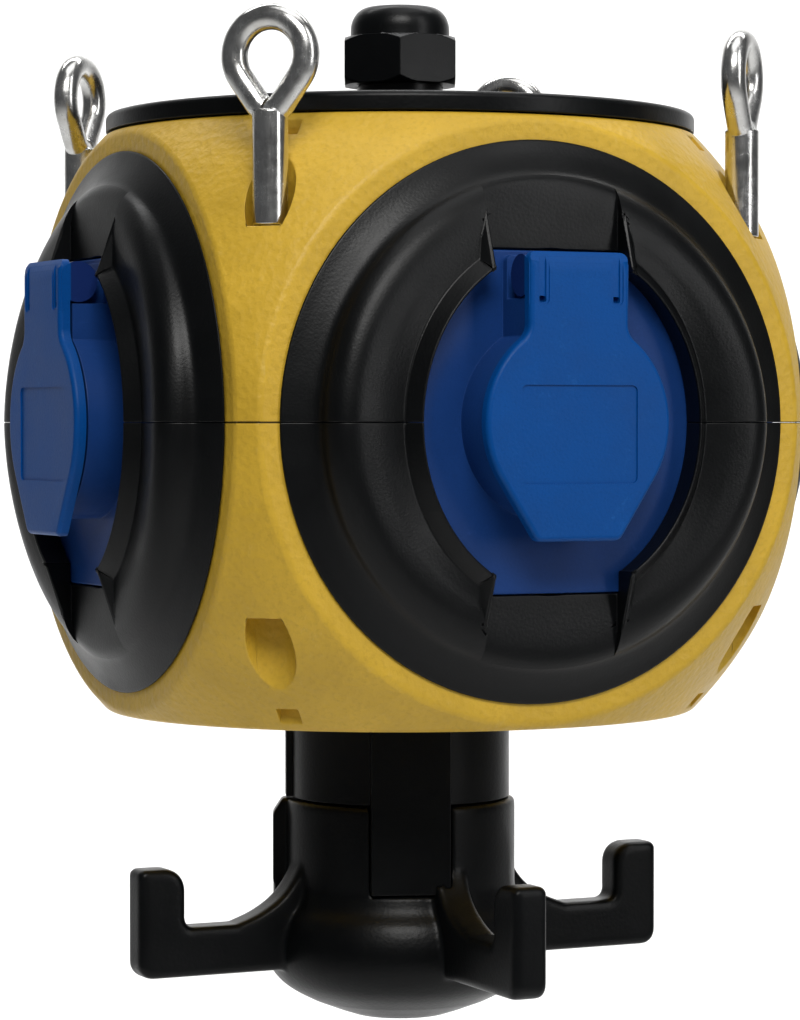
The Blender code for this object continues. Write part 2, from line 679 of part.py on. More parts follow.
def gland_cap():
    """A hexagonal nut with a domed top and an open bore."""
    low = GLAND_COLLAR_TOP + GAP
    flats = CAP_ACROSS_FLATS / 2
    nut = prism("gland_cap", hexagon(CAP_ACROSS_FLATS, CAP_TURN), low, CAP_HEX_TOP)
    chamfer = [(0, low), (flats + 0.4, low), (flats + 2.4, low + 1.6), (flats + 2.4, CAP_HEX_TOP - 1.6)]
    chamfer += [(flats + 0.2, CAP_HEX_TOP), (0, CAP_HEX_TOP)]
    boolean(nut, lathe("chamfer", chamfer), "INTERSECT")
    rise = CAP_TOP - CAP_HEX_TOP
    run = CAP_DOME_RADIUS - CAP_TOP_RADIUS
    foot = CAP_HEX_TOP + rise * CAP_DOME_FOOT
    dome = [(0, CAP_HEX_TOP - 1), (CAP_DOME_RADIUS, CAP_HEX_TOP - 1), (CAP_DOME_RADIUS, foot)]
    for x, y in arc((0, 0), 1.0, 15, 90, 3):
        dome.append((CAP_TOP_RADIUS + run * x, foot + (CAP_TOP - foot) * y))
    dome.append((0, CAP_TOP))
    boolean(nut, lathe("dome", dome), "UNION")
    bore = [(0, low - 1), (CAP_BORE_RADIUS, low - 1), (CAP_BORE_RADIUS, CAP_BORE_TOP)]
    bore += [(CAP_MOUTH_RADIUS, CAP_BORE_TOP), (CAP_MOUTH_RADIUS, CAP_TOP + 1), (0, CAP_TOP + 1)]
    return boolean(nut, lathe("bore", bore))


def gland_seal():
    inner, outer = GLAND_SEAL_RADII
    low, high = GLAND_NECK_TOP + GAP, CAP_BORE_TOP - GAP
    return lathe("gland_seal", [(inner, low), (outer, low), (outer, high), (inner, high)])


def hex_nut(name, across_flats, hole_radius, low, high):
    nut = prism(name, hexagon(across_flats), low, high)
    reach = hole_radius / math.cos(math.pi / MEDIUM)
    hole = [(0, low - 1), (reach, low - 1), (reach, high + 1), (0, high + 1)]
    return boolean(nut, lathe("hole", hole))


# Neck and hook ring -----------------------------------------------------------------------------------


def key_block(name, half_width, outer, low, high, inner=20.0):
    """A rib or a slot down one side of the neck, turned to where the key stands."""
    rib = block(name, (-half_width, -outer, low), (half_width, -inner, high))
    return turned(rib, KEY_TURN)


def neck_tube():
    """A flanged tube with a long key down one side and a floor that the hook bolt goes through."""
    low, high = NECK_FLANGE
    section = [(NECK_BORE_RADIUS, high), (NECK_FLANGE_RADIUS, high), (NECK_FLANGE_RADIUS, low)]
    section += [(NECK_RADIUS, low), (NECK_RADIUS, NECK_SHOULDER), (SPIGOT_LOW_RADIUS, NECK_SHOULDER)]
    section += [(SPIGOT_LOW_RADIUS, SPIGOT_LOW_BOTTOM), (HOOK_BOLT_HOLE_RADIUS, SPIGOT_LOW_BOTTOM)]
    section += [(HOOK_BOLT_HOLE_RADIUS, NECK_FLOOR_TOP), (NECK_LOW_BORE_RADIUS, NECK_FLOOR_TOP)]
    section += [(NECK_LOW_BORE_RADIUS, NECK_SHOULDER + 3), (NECK_BORE_RADIUS, NECK_SHOULDER + 6)]
    tube = lathe("neck_tube", section)
    top = -END_PLANE - GAP
    key = key_block("key", KEY_HALF_WIDTH, KEY_RADIUS, SPIGOT_LOW_BOTTOM, top, KEY_INNER)
    boolean(tube, key, "UNION")
    low_corner = (-RIB_HALF_WIDTH, -NECK_RIB_RADIUS, NECK_SHOULDER)
    rib = block("rib", low_corner, (RIB_HALF_WIDTH, -NECK_RADIUS + 2, top))
    return boolean(tube, turned(rib, RIB_TURN), "UNION")


def hook():
    """One hook in the plane of X and Z: an arm that rises to the hub, and an upturned tip."""
    corners = [
        (29.0, HOOK_BOTTOM, 0),
        (HOOK_OUTER, HOOK_BOTTOM, 4.0),
        (HOOK_OUTER, HOOK_TIP_TOP, 1.8),
        (HOOK_TIP_INNER, HOOK_TIP_TOP, 5.5),
        (HOOK_TIP_INNER, HOOK_ARM_TOP, 2.5),
        (49.0, HOOK_ARM_TOP, 0),
        (42.5, -129.9, 0),
        (36.5, -126.0, 0),
        (32.3, -120.5, 0),
        (29.0, -113.0, 0),
    ]
    outline = rounded(corners, 3)
    sections = [[(x, y, z) for x, z in outline] for y in (-HOOK_HALF_WIDTH, HOOK_HALF_WIDTH)]
    return sweep("hook", sections, False)


def hook_ring():
    """A collar that sleeves over the neck, a rounded hub and four hooks."""
    floor = SPIGOT_LOW_BOTTOM - GAP
    bore = SPIGOT_LOW_RADIUS + GAP
    section = [*RING_SECTION, (HOOK_BOLT_HOLE_RADIUS, RING_SECTION[-1][1])]
    section += [(HOOK_BOLT_HOLE_RADIUS, floor), (bore, floor), (bore, RING_SECTION[0][1])]
    ring = lathe("hook_ring", section)
    for degrees in SIDES.values():
        boolean(ring, turned(hook(), degrees), "UNION")
    boolean(ring, key_block("slot", KEY_HALF_WIDTH + GAP, KEY_RADIUS + GAP, floor, -95))
    outline = [(depth - RIB_RADIUS, height) for depth, height in RIB_SECTION]
    rib = prism_across("rib", outline, -RIB_HALF_WIDTH, RIB_HALF_WIDTH)
    return boolean(ring, turned(rib, RIB_TURN), "UNION")


def hook_bolt():
    low, high = HOOK_BOLT_HEAD
    bolt = prism("hook_bolt", hexagon(HOOK_NUT_ACROSS_FLATS), low, high)
    section = [(0, low + 1), (HOOK_BOLT_RADIUS, low + 1)]
    section += [(HOOK_BOLT_RADIUS, HOOK_BOLT_TOP), (0, HOOK_BOLT_TOP)]
    return boolean(bolt, lathe("shank", section, SMALL), "UNION")


# Inside -----------------------------------------------------------------------------------------------


def terminal_block():
    """A bar of screw terminals in the middle of the box."""
    width, depth, height = (size / 2 for size in TERMINAL_BLOCK)
    bar = block("terminal_block", (-width, -depth, -height), (width, depth, height))
    pitch = 2 * width / TERMINAL_HOLES
    for index in range(TERMINAL_HOLES):
        middle = (index + 0.5) * pitch - width
        for side in (-1, 1):
            outline = circle((middle, side * depth / 2), TERMINAL_HOLE_RADIUS)
            boolean(bar, prism("screw_hole", outline, height - 5, height + 1))
    return bar


def wiring():
    """Four leads that leave one sleeve and run to the backs of the sockets."""
    radius, low, high = SLEEVE_OF_LEADS
    bundle = lathe("wiring", [(0, low), (radius, low), (radius, high), (0, high)], SMALL)
    for degrees in SIDES.values():
        sections = []
        for step in range(7):
            share = step / 6
            out = LEAD_REACH * share
            height = LEAD_DROP * (1 + math.cos(math.pi * share)) / 2
            slope = -LEAD_DROP / 2 * math.pi * math.sin(math.pi * share) / LEAD_REACH
            tangent = Vector((1, 0, slope)).normalized()
            upward = Vector((-tangent.z, 0, tangent.x))
            section = []
            for side in range(6):
                turn = 2 * math.pi * side / 6
                offset = upward * math.cos(turn) + Vector((0, 1, 0)) * math.sin(turn)
                section.append(tuple(Vector((out, 0, height)) + offset * LEAD_RADIUS))
            sections.append(section)
        boolean(bundle, turned(sweep("lead", sections, False), degrees), "UNION")
    return bundle


# Assembly ---------------------------------------------------------------------------------------------


def repeated(source, names, material, angle=35):
    """Gives the source's mesh to one object for each (name, parent, rotation), then drops the source."""
    finish(source, material, None, angle)
    for name, parent, rotation in names:
        copy_of(name, source, parent, rotation)
    bpy.data.objects.remove(source, do_unlink=True)


def build_sides(origin, paint):
    sides = {name: empty(f"side_{name}", origin, rotation=(90, 0, turn)) for name, turn in SIDES.items()}
    hinges = {
        name: empty(f"hinge_{name}", side, location=(0, PIN_HEIGHT, PIN_OUT)) for name, side in sides.items()
    }
    upper = [(f"bezel_{name}_upper", side, (0, 0, 0)) for name, side in sides.items()]
    lower = [(f"bezel_{name}_lower", side, (0, 0, math.pi)) for name, side in sides.items()]
    repeated(bezel_half(), upper + lower, paint["bezel"])
    fixed = (
        (socket_body, "socket_body", "socket"),
        (socket_insert, "socket_insert", "insert"),
        (earth_clip, "earth_clip", "brass"),
    )
    for make, label, colour in fixed:
        names = [(f"{label}_{name}", side, (0, 0, 0)) for name, side in sides.items()]
        repeated(make(), names, paint[colour])
    on_hinge = (
        (lid, "lid", "lid", True),
        (lid_seal, "lid_seal", "rubber", True),
        (lid_pin, "lid_pin", "zinc", False),
        (lid_spring, "lid_spring", "zinc", False),
    )
    for make, label, colour, in_side_frame in on_hinge:
        piece = make()
        if in_side_frame:
            shifted(piece, 0, -PIN_HEIGHT, -PIN_OUT)
        names = [(f"{label}_{name}", hinge, (0, 0, 0)) for name, hinge in hinges.items()]
        repeated(piece, names, paint[colour])


def build_corners(origin, paint):
    corners = {
        name: empty(f"corner_{name}", origin, rotation=(0, 0, turn)) for name, turn in CORNERS.items()
    }
    for make, label in ((eye_nut, "eye_nut"), (clamp_bolt, "clamp_bolt")):
        names = [(f"{label}_{name}", corner, (0, 0, 0)) for name, corner in corners.items()]
        repeated(make(), names, paint["zinc"])


def build():
    clear_scene()
    paint = {
        "yellow": make_material("yellow_shell", YELLOW, 0.45),
        "black": make_material("black_plastic", BLACK, 0.4),
        "bezel": make_material("black_bezel", BLACK, 0.35),
        "lid": make_material("blue_lid", BLUE, 0.4),
        "socket": make_material("blue_socket", DARK_BLUE, 0.4),
        "insert": make_material("dark_insert", GREY, 0.5),
        "rubber": make_material("seal_rubber", DARK_RUBBER, 0.7),
        "zinc": make_material("zinc", ZINC, 0.25, 1.0),
        "brass": make_material("brass", BRASS, 0.3, 1.0),
        "grey": make_material("grey_plastic", GREY, 0.5),
    }
    origin = empty("seam_centre", location=(0, 0, -HANGING_HEIGHT))
    finish(half_shell("upper_shell", TOP_HOLE_RADIUS, False), paint["yellow"], origin)
    lower = finish(half_shell("lower_shell", BOTTOM_HOLE_RADIUS, True), paint["yellow"], origin)
    lower.rotation_euler = (math.pi, 0, 0)
    build_sides(origin, paint)
    build_corners(origin, paint)
    finish(top_disc(), paint["black"], origin)
    finish(disc_seal(), paint["rubber"], origin)
    finish(gland_body(), paint["black"], origin)
    finish(gland_cap(), paint["black"], origin)
    finish(gland_seal(), paint["rubber"], origin)
    locknut = hex_nut("gland_locknut", LOCKNUT_ACROSS_FLATS, GLAND_THREAD_RADIUS + GAP, *LOCKNUT)
    finish(locknut, paint["black"], origin)
    finish(neck_tube(), paint["black"], origin)
    finish(hook_ring(), paint["black"], origin)
    finish(hook_bolt(), paint["zinc"], origin)
    hook_nut = hex_nut("hook_nut", HOOK_NUT_ACROSS_FLATS, HOOK_BOLT_RADIUS + GAP, *HOOK_NUT)
    finish(hook_nut, paint["zinc"], origin)
    finish(terminal_block(), paint["grey"], origin)
    finish(wiring(), paint["rubber"], origin)


build()
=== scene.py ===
import math

import bmesh
import bpy
from mathutils import Matrix, Vector


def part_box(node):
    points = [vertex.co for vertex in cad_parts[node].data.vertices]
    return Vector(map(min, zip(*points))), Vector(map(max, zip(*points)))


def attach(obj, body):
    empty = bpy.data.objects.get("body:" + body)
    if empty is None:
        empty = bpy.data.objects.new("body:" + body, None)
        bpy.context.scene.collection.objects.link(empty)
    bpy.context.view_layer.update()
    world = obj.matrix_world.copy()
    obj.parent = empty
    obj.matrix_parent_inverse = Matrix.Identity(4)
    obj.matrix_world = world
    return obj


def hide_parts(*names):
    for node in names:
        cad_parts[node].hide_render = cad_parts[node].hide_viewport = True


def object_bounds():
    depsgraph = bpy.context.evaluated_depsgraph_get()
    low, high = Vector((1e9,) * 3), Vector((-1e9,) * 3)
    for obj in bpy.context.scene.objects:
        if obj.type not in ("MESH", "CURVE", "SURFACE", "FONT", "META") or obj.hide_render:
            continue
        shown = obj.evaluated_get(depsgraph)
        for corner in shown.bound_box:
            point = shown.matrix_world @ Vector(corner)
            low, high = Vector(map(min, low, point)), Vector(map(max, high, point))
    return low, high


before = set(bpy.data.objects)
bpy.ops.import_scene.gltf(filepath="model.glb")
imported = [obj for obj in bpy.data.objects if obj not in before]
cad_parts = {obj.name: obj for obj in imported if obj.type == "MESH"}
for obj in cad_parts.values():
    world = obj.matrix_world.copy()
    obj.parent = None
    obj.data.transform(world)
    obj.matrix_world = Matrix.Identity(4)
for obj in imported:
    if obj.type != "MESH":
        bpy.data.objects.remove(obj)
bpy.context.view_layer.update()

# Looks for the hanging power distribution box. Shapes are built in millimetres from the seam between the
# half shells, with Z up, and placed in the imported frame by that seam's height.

MM = 0.001
GAP = 0.3
SHORT_EDGE = 0.03
SEAM_HEIGHT = (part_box("upper_shell")[0].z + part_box("lower_shell")[1].z) / 2
UPRIGHT = Matrix.Identity(4)
SIDES = {"front": 0, "right": 90, "back": 180, "left": 270}
CORNERS = {"front_right": -45, "back_right": 45, "back_left": 135, "front_left": 225}


def extent(node):
    """Lowest and highest corner of a CAD node in millimetres, measured from the seam."""
    low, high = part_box(node)
    seam = Vector((0, 0, SEAM_HEIGHT))
    return (low - seam) / MM, (high - seam) / MM


# Facets round a piece, by its size
HUGE, LARGE, MEDIUM, SMALL = 160, 96, 48, 24

# Half shells
BALL_RADIUS = 110.0
SIDE_PLANE = -extent("upper_shell")[0].y
END_PLANE = extent("upper_shell")[1].z
WALL = 4.0
SEAM_HALF_GAP = 0.03  # under the chamfers that show as the seam
SEAM_CHAMFER = 0.3
EDGE_RADIUS = 3.2
CORNER_RADIUS = 94.5
POST_RADIUS = 9.7
POCKET_RADIUS = 6.2
LEDGE_HEIGHT = 47.8
BOLT_HOLE_RADIUS = 3.2
COUNTERBORE_RADIUS, COUNTERBORE_TOP = 4.2, 41.0
RIM_NOTCH = (5.8, 5.7, 4.5)
RIM_NOTCH_PLACE = (83.2, 73.3)
TOP_HOLE_RADIUS, BOTTOM_HOLE_RADIUS, SOCKET_HOLE_RADIUS = 25.0, 29.8, 24.4

# Bezels
BEZEL_BACK = SIDE_PLANE + GAP
BEZEL_FOOT = ((70.3, BEZEL_BACK + 0.5), (66.6, 82.2), (62.4, 84.5))
BEZEL_SIDE = ((61.2, 88.6), (59.2, 91.6), (55.8, 93.0), (50.5, 92.7), (46.0, 91.9))  # dome beside the lid
BEZEL_TOP = ((60.1, 86.7), (57.3, 88.3), (54.2, 89.3), (51.2, 89.9), (49.0, 90.2))  # dome above the lid
BEZEL_MOUTH = (38.3, 42.9)
RIM_FRONT, RIM_FOOT = 94.6, 90.8  # front and foot of the sharp rim round the mouth
RIM_WIDTH, RIM_EDGE = 3.6, 0.5
NOTCH_HALF_WIDTH = 18.8
NOTCH_FLOOR = (
    (20.0, 87.0), (46.0, 87.1), (54.0, 87.1), (58.0, 86.8), (60.2, 86.2), (62.5, 84.8), (66.0, 84.2),
)
FIN_EDGE = ((37.0, 94.6), (53.0, 88.7), (56.5, 84.6))  # height and distance out, beside the notch
FIN_FOOT = ((37.0, 90.4), (53.0, 86.6), (56.5, 84.0))
FIN_CREST, FIN_WIDTH = 0.8, 3.6
FIN_END = (51.5, 64.0)  # where the fins and the notch run out into the dome

# Sockets
FLANGE_FRONT = 87.2
FLANGE_RADIUS, FLANGE_FLAT = 46.5, 42.4
COLLAR_RADIUS, COLLAR_FRONT = 24.9, 98.6
BARREL_RADIUS, BARREL_BACK = 24.0, 60.0
WELL_RADIUS, WELL_BACK, WELL_CHAMFER = 19.7, 64.1, 0.8
LEAD_HOLE_RADIUS = 6.0
INSERT_RADIUS, INSERT_BACK, INSERT_FRONT = 19.0, 65.6, 80.6
CONTACT_HOLE_RADIUS, CONTACT_CHAMFER, CONTACT_SPACING = 2.6, 1.2, 19.0
EARTH_HALF_WIDTH = 3.0
EARTH_OUTER, EARTH_THICKNESS, EARTH_BACK, EARTH_FRONT = 18.9, 0.8, 64.4, 92.0

# Lid and hinge
PIN_HEIGHT, PIN_OUT = 35.8, 97.1
PIN_RADIUS, PIN_HALF_LENGTH, PIN_HOLE_RADIUS = 1.5, 13.4, 1.8
PIN_HOLE_DEPTH = 13.3  # blind, just short of the cheeks' outsides
LID_FRONT = -extent("lid_front")[0].y
LID_BACK = LID_FRONT - 3.0
LID_RADIUS = 25.4
LID_BOTTOM, LID_BOTTOM_HALF_WIDTH = -29.0, 11.5
LID_EDGE_RADIUS = 1.3
TAB_HALF_WIDTH, TAB_TOP, TAB_FILLET, TAB_WALL = 13.7, 41.5, 5.0, 1.7
TAB_POCKET_LOW, TAB_BEND_RADIUS = 30.5, 10.0
CHEEK_INNER, CHEEK_RADIUS = 11.2, 5.2
SLOT_PLACE, SLOT_BOTTOM, SLOT_TOP = 10.2, 28.6, 39.6
LABEL_SIZE = (32.0, 24.1)
LABEL_MIDDLE, LABEL_DEPTH, LABEL_CORNER = -2.95, 0.4, 1.5
SEAL_INNER, SEAL_OUTER, SEAL_BACK, SEAL_FRONT = 20.5, 24.0, 98.9, 100.7
KNUCKLE_HALF_WIDTH, KNUCKLE_RADIUS = 10.8, 3.3
KNUCKLE_ARM = (29.5, 36.4)
PEDESTAL_FRONT = 89.2
HINGE_WALL = (20.0, 30.3, 98.6)
SPRING_SLOT_HALF_WIDTH = 5.2
SPRING_RADIUS, SPRING_WIRE_RADIUS, SPRING_TURNS, SPRING_PITCH = 2.4, 0.3, 3, 2.4

# Lifting eyes and clamp bolts
SLEEVE_RADIUS, SLEEVE_TOP = 4.4, 76.3
SLEEVE_BORE_RADIUS, SLEEVE_BORE_TOP = 3.2, 62.0
SLEEVE_CHAMFERS = (0.35, 0.5, 0.4)  # foot, top and bore
EYE_WIRE_RADIUS, EYE_RADIUS, EYE_MIDDLE = 3.3, 9.4, 89.6
EYE_FOOT_RADIUS, EYE_FOOT_MIDDLE = 3.9, 80.0
BOLT_RADIUS, BOLT_HEAD_RADIUS, BOLT_TOP = 2.9, 3.9, 60.0
BOLT_HEAD = (-47.2, -41.3)
THREAD_PITCH = 1.0

# Top disc and gland
DISC_RADIUS, DISC_TOP = extent("top_disc")[1].x, extent("top_disc")[1].z
DISC_HOLE_RADIUS, SPIGOT_RADIUS, SPIGOT_BOTTOM = 12.8, 24.2, 72.5
DISC_GROOVE = (29.7, 33.3, 1.5)
GLAND_BOTTOM = extent("gland_body")[0].z
GLAND_THREAD_RADIUS, GLAND_THREAD_DEPTH, GLAND_BORE_RADIUS = 12.4, 0.6, 8.0
GLAND_FOOT_RADIUS, GLAND_FOOT_TOP = 14.6, 84.0
GLAND_COLLAR_RADIUS, GLAND_COLLAR_TOP = 11.55, 90.2
GLAND_NECK_RADIUS, GLAND_NECK_TOP = 10.8, 100.0
CAP_ACROSS_FLATS, CAP_TURN, CAP_HEX_TOP = 29.7, 4.6, 103.3
CAP_TOP = extent("gland_cap")[1].z
CAP_DOME_RADIUS, CAP_TOP_RADIUS, CAP_MOUTH_RADIUS, CAP_MOUTH_CHAMFER = 13.3, 8.2, 6.8, 0.6
CAP_BORE_RADIUS, CAP_BORE_TOP = 11.1, 108.0
GLAND_SEAL_RADII = (6.3, 10.8)

# Neck and hook ring
NECK_RADIUS, NECK_BORE_RADIUS, NECK_FLANGE_RADIUS = 29.5, 25.0, 36.0
NECK_FLANGE = (-72.7, -69.7)
NECK_SHOULDER = -100.7
NECK_BORE_BOTTOM, NECK_LOW_BORE = -95, (22.5, -98)
SPIGOT_LOW_RADIUS, SPIGOT_LOW_BOTTOM, NECK_FLOOR_TOP = 26.0, -124.0, -120.0
KEY_HALF_WIDTH, KEY_RADIUS, KEY_TURN = 10.5, 31.2, -20.0
RIB_TURN, RIB_RADIUS, RIB_HALF_WIDTH, NECK_RIB_RADIUS = -112.0, 34.4, 3.5, 31.0
HOOK_BOLT_HOLE_RADIUS = 3.6
RING_SECTION = (
    (29.2, -101.0), (30.6, -101.3), (31.0, -102.2), (31.0, -124.5), (32.3, -128.5), (34.8, -132.2),
    (36.4, -137.0), (36.7, -141.5), (35.8, -145.5), (33.2, -149.4), (29.5, -152.4), (24.0, -155.3),
    (17.0, -158.0), (12.5, -159.5), (7.0, -159.5), (7.0, -152.5),
)
HOOK_HALF_WIDTH, HOOK_OUTER, HOOK_TIP_INNER = 4.85, 77.0, 64.1
HOOK_TIP_TOP, HOOK_BOTTOM, HOOK_ARM_TOP = -116.8, -145.5, -132.4
HOOK_LAYERS = ((1.0, 1.7), (0.93, 0.75), (0.8, 0.2), (0.62, 0.0))  # share of the half width, inset there
HOOK_BOLT_RADIUS, HOOK_BOLT_TOP, HOOK_BOLT_FLATS = 3.2, -111.0, 11.0
HOOK_BOLT_HEAD = (-157.4, -152.8)


# ---- Mesh tools


def mesh_object(points, faces):
    """A closed mesh object from points in millimetres, with its faces turned outwards."""
    bm = bmesh.new()
    vertices = [bm.verts.new(Vector(point) * MM) for point in points]
    for face in faces:
        bm.faces.new([vertices[index] for index in face])
    bmesh.ops.recalc_face_normals(bm, faces=bm.faces[:])
    mesh = bpy.data.meshes.new("piece")
    bm.to_mesh(mesh)
    bm.free()
    obj = bpy.data.objects.new("piece", mesh)
    bpy.context.scene.collection.objects.link(obj)
    return obj


def sweep(sections, closed):
    """Bridges equal closed sections of 3-D points, round a loop or capped at both ends."""
    size = len(sections[0])
    points = [point for section in sections for point in section]
    spans = len(sections) if closed else len(sections) - 1
    faces = []
    for span in range(spans):
        start, end = span * size, (span + 1) % len(sections) * size
        for corner in range(size):
            after = (corner + 1) % size
            faces.append((start + corner, start + after, end + after, end + corner))
    if not closed:
        faces.append(tuple(range(size)))
        faces.append(tuple(range(len(points) - size, len(points))))
    return mesh_object(points, faces)


def lathe(section, segments=MEDIUM):
    """Turns a closed section of (radius, height) about Z."""
    points, rings = [], []
    for radius, height in section:
        count = segments if radius > 0 else 1
        rings.append([len(points) + step for step in range(count)])
        for step in range(count):
            angle = 2 * math.pi * step / segments
            points.append((radius * math.cos(angle), radius * math.sin(angle), height))
    faces = []
    for here, there in zip(rings, rings[1:] + rings[:1]):
        for step in range(segments):
            after = (step + 1) % segments
            corners = [here[step % len(here)], here[after % len(here)]]
            corners += [there[after % len(there)], there[step % len(there)]]
            corners = list(dict.fromkeys(corners))
            if len(corners) > 2:
                faces.append(corners)
    return mesh_object(points, faces)


def prism(outline, low, high):
    """An outline of (x, y) extruded along Z from low to high."""
    return sweep([[(x, y, height) for x, y in outline] for height in (low, high)], False)


def prism_across(outline, low, high):
    """An outline of (y, z) extruded along X from low to high."""
    return sweep([[(across, y, z) for y, z in outline] for across in (low, high)], False)


def block(low, high):
    outline = [(low[0], low[1]), (high[0], low[1]), (high[0], high[1]), (low[0], high[1])]
    return prism(outline, low[2], high[2])


def arc(centre, radius, start, end, steps):
    """Points round an arc; angles in degrees."""
    angles = [math.radians(start + (end - start) * step / steps) for step in range(steps + 1)]
    return [(centre[0] + radius * math.cos(a), centre[1] + radius * math.sin(a)) for a in angles]


def circle(centre, radius, segments=SMALL):
    return arc(centre, radius, 0, 360 * (segments - 1) / segments, segments - 1)


def stepped(*turns):
    """A section that steps out and up by turns: radius, height, radius, height and so on."""
    pairs = enumerate(zip(turns, turns[1:]))
    return [(there, here) if index % 2 else (here, there) for index, (here, there) in pairs]


def hexagon(across_flats, turn=0.0):
    return arc((0, 0), across_flats / math.sqrt(3), turn, turn + 300, 5)


def rounded(corners, steps=6):
    """An outline with each (x, y, radius) corner turned into an arc."""
    outline = []
    for index, (x, y, radius) in enumerate(corners):
        corner = Vector((x, y))
        before = Vector(corners[index - 1][:2]) - corner
        after = Vector(corners[(index + 1) % len(corners)][:2]) - corner
        if radius == 0:
            outline.append((x, y))
            continue
        half = before.angle(after) / 2
        middle = corner + (before.normalized() + after.normalized()).normalized() * radius / math.sin(half)
        first = corner + before.normalized() * radius / math.tan(half) - middle
        last = corner + after.normalized() * radius / math.tan(half) - middle
        turn = first.angle_signed(last)
        for step in range(steps + 1):
            spoke = Matrix.Rotation(-turn * step / steps, 2) @ first
            outline.append((middle.x + spoke.x, middle.y + spoke.y))
    return outline


def flowing(points, per_span):
    """A smooth curve through the points (Catmull-Rom)."""
    curve = []
    last = len(points) - 1
    for index in range(last):
        p0, p1, p2, p3 = (Vector(points[min(max(index + k, 0), last)]) for k in (-1, 0, 1, 2))
        for step in range(per_span):
            t = step / per_span
            point = p1 * 2 + (p2 - p0) * t + (p0 * 2 - p1 * 5 + p2 * 4 - p3) * t**2
            point += (p1 * 3 - p0 - p2 * 3 + p3) * t**3
            curve.append(tuple(point / 2))
    return curve + [tuple(points[-1])]


def inset(outline, margin):
    """The outline moved inwards by the margin, corner by corner."""
    area = sum(a[0] * b[1] - b[0] * a[1] for a, b in zip(outline, outline[1:] + outline[:1]))
    inward = margin if area > 0 else -margin
    result = []
    for index, point in enumerate(outline):
        before = Vector(outline[index - 1])
        after = Vector(outline[(index + 1) % len(outline)])
        first, second = (Vector(point) - before).normalized(), (after - Vector(point)).normalized()
        bisector = Vector((-first.y - second.y, first.x + second.x))
        spread = max(bisector.length / 2, 0.5)
        result.append(tuple(Vector(point) + bisector.normalized() * inward / spread))
    return result


def soft_prism(outline, low, high, radius):
    """A prism whose upper edge is rounded."""
    layers = [(0, low), *arc((radius, high - radius), radius, 180, 90, 4)]
    sections = [[(x, y, height) for x, y in inset(outline, margin)] for margin, height in layers]
    return sweep(sections, False)


def moved(obj, matrix):
    obj.data.transform(matrix)
    obj.data.update()
    return obj


def shifted(obj, x, y, z):
    return moved(obj, Matrix.Translation(Vector((x, y, z)) * MM))


def turned(obj, degrees, axis="Z"):
    return moved(obj, Matrix.Rotation(math.radians(degrees), 4, axis))


def joined(objects):
    """One object with the meshes of several, which are removed."""
    bm = bmesh.new()
    for obj in objects:
        bm.from_mesh(obj.data)
    for obj in objects[1:]:
        bpy.data.objects.remove(obj, do_unlink=True)
    bm.to_mesh(objects[0].data)
    bm.free()
    return objects[0]


def around(make, angles):
    """Copies of a tool turned about the vertical axis, as one object."""
    return joined([turned(make(), degrees) for degrees in angles])


def applied(obj):
    """The object with its modifiers made part of its mesh."""
    bpy.context.view_layer.update()
    graph = bpy.context.evaluated_depsgraph_get()
    mesh = bpy.data.meshes.new_from_object(obj.evaluated_get(graph))
    obj.modifiers.clear()
    obj.data = mesh
    return obj


def boolean(target, tool, operation):
    modifier = target.modifiers.new("boolean", "BOOLEAN")
    modifier.operation = operation
    modifier.object = tool
    applied(target)
    bpy.data.objects.remove(tool, do_unlink=True)


def cut(target, tool):
    boolean(target, tool, "DIFFERENCE")


def fuse(target, tool):
    boolean(target, tool, "UNION")


def keep(target, tool):
    """Keeps only what lies inside the tool."""
    boolean(target, tool, "INTERSECT")


def bevelled(obj, width, segments=2, angle=35, left_sharp=None):
    """Rounds the edges steeper than the angle, but for those whose middle the left_sharp test picks out.

    The very short edges that Booleans leave are closed up first.
    """
    bm = bmesh.new()
    bm.from_mesh(obj.data)
    bmesh.ops.remove_doubles(bm, verts=bm.verts[:], dist=SHORT_EDGE * MM)
    bmesh.ops.dissolve_degenerate(bm, edges=bm.edges[:], dist=SHORT_EDGE * MM)
    weight = bm.edges.layers.float.new("bevel_weight_edge")
    for edge in bm.edges:
        middle = (edge.verts[0].co + edge.verts[1].co) / 2 / MM
        steep = edge.is_manifold and edge.calc_face_angle() > math.radians(angle)
        edge[weight] = float(steep and not (left_sharp and left_sharp(middle)))
    bm.to_mesh(obj.data)
    bm.free()
    modifier = obj.modifiers.new("bevel", "BEVEL")
    modifier.width = width * MM
    modifier.segments = segments
    modifier.limit_method = "WEIGHT"
    modifier.use_clamp_overlap = False
    modifier.miter_outer = "MITER_ARC"
    return applied(obj)


def smoothed(obj, angle=38):
    """Smooth shading that keeps flat faces flat and hard edges hard."""
    obj.data.shade_smooth()
    obj.data.set_sharp_from_angle(angle=math.radians(angle))
    modifier = obj.modifiers.new("normals", "WEIGHTED_NORMAL")
    modifier.keep_sharp = True
    return applied(obj)


# ---- Materials


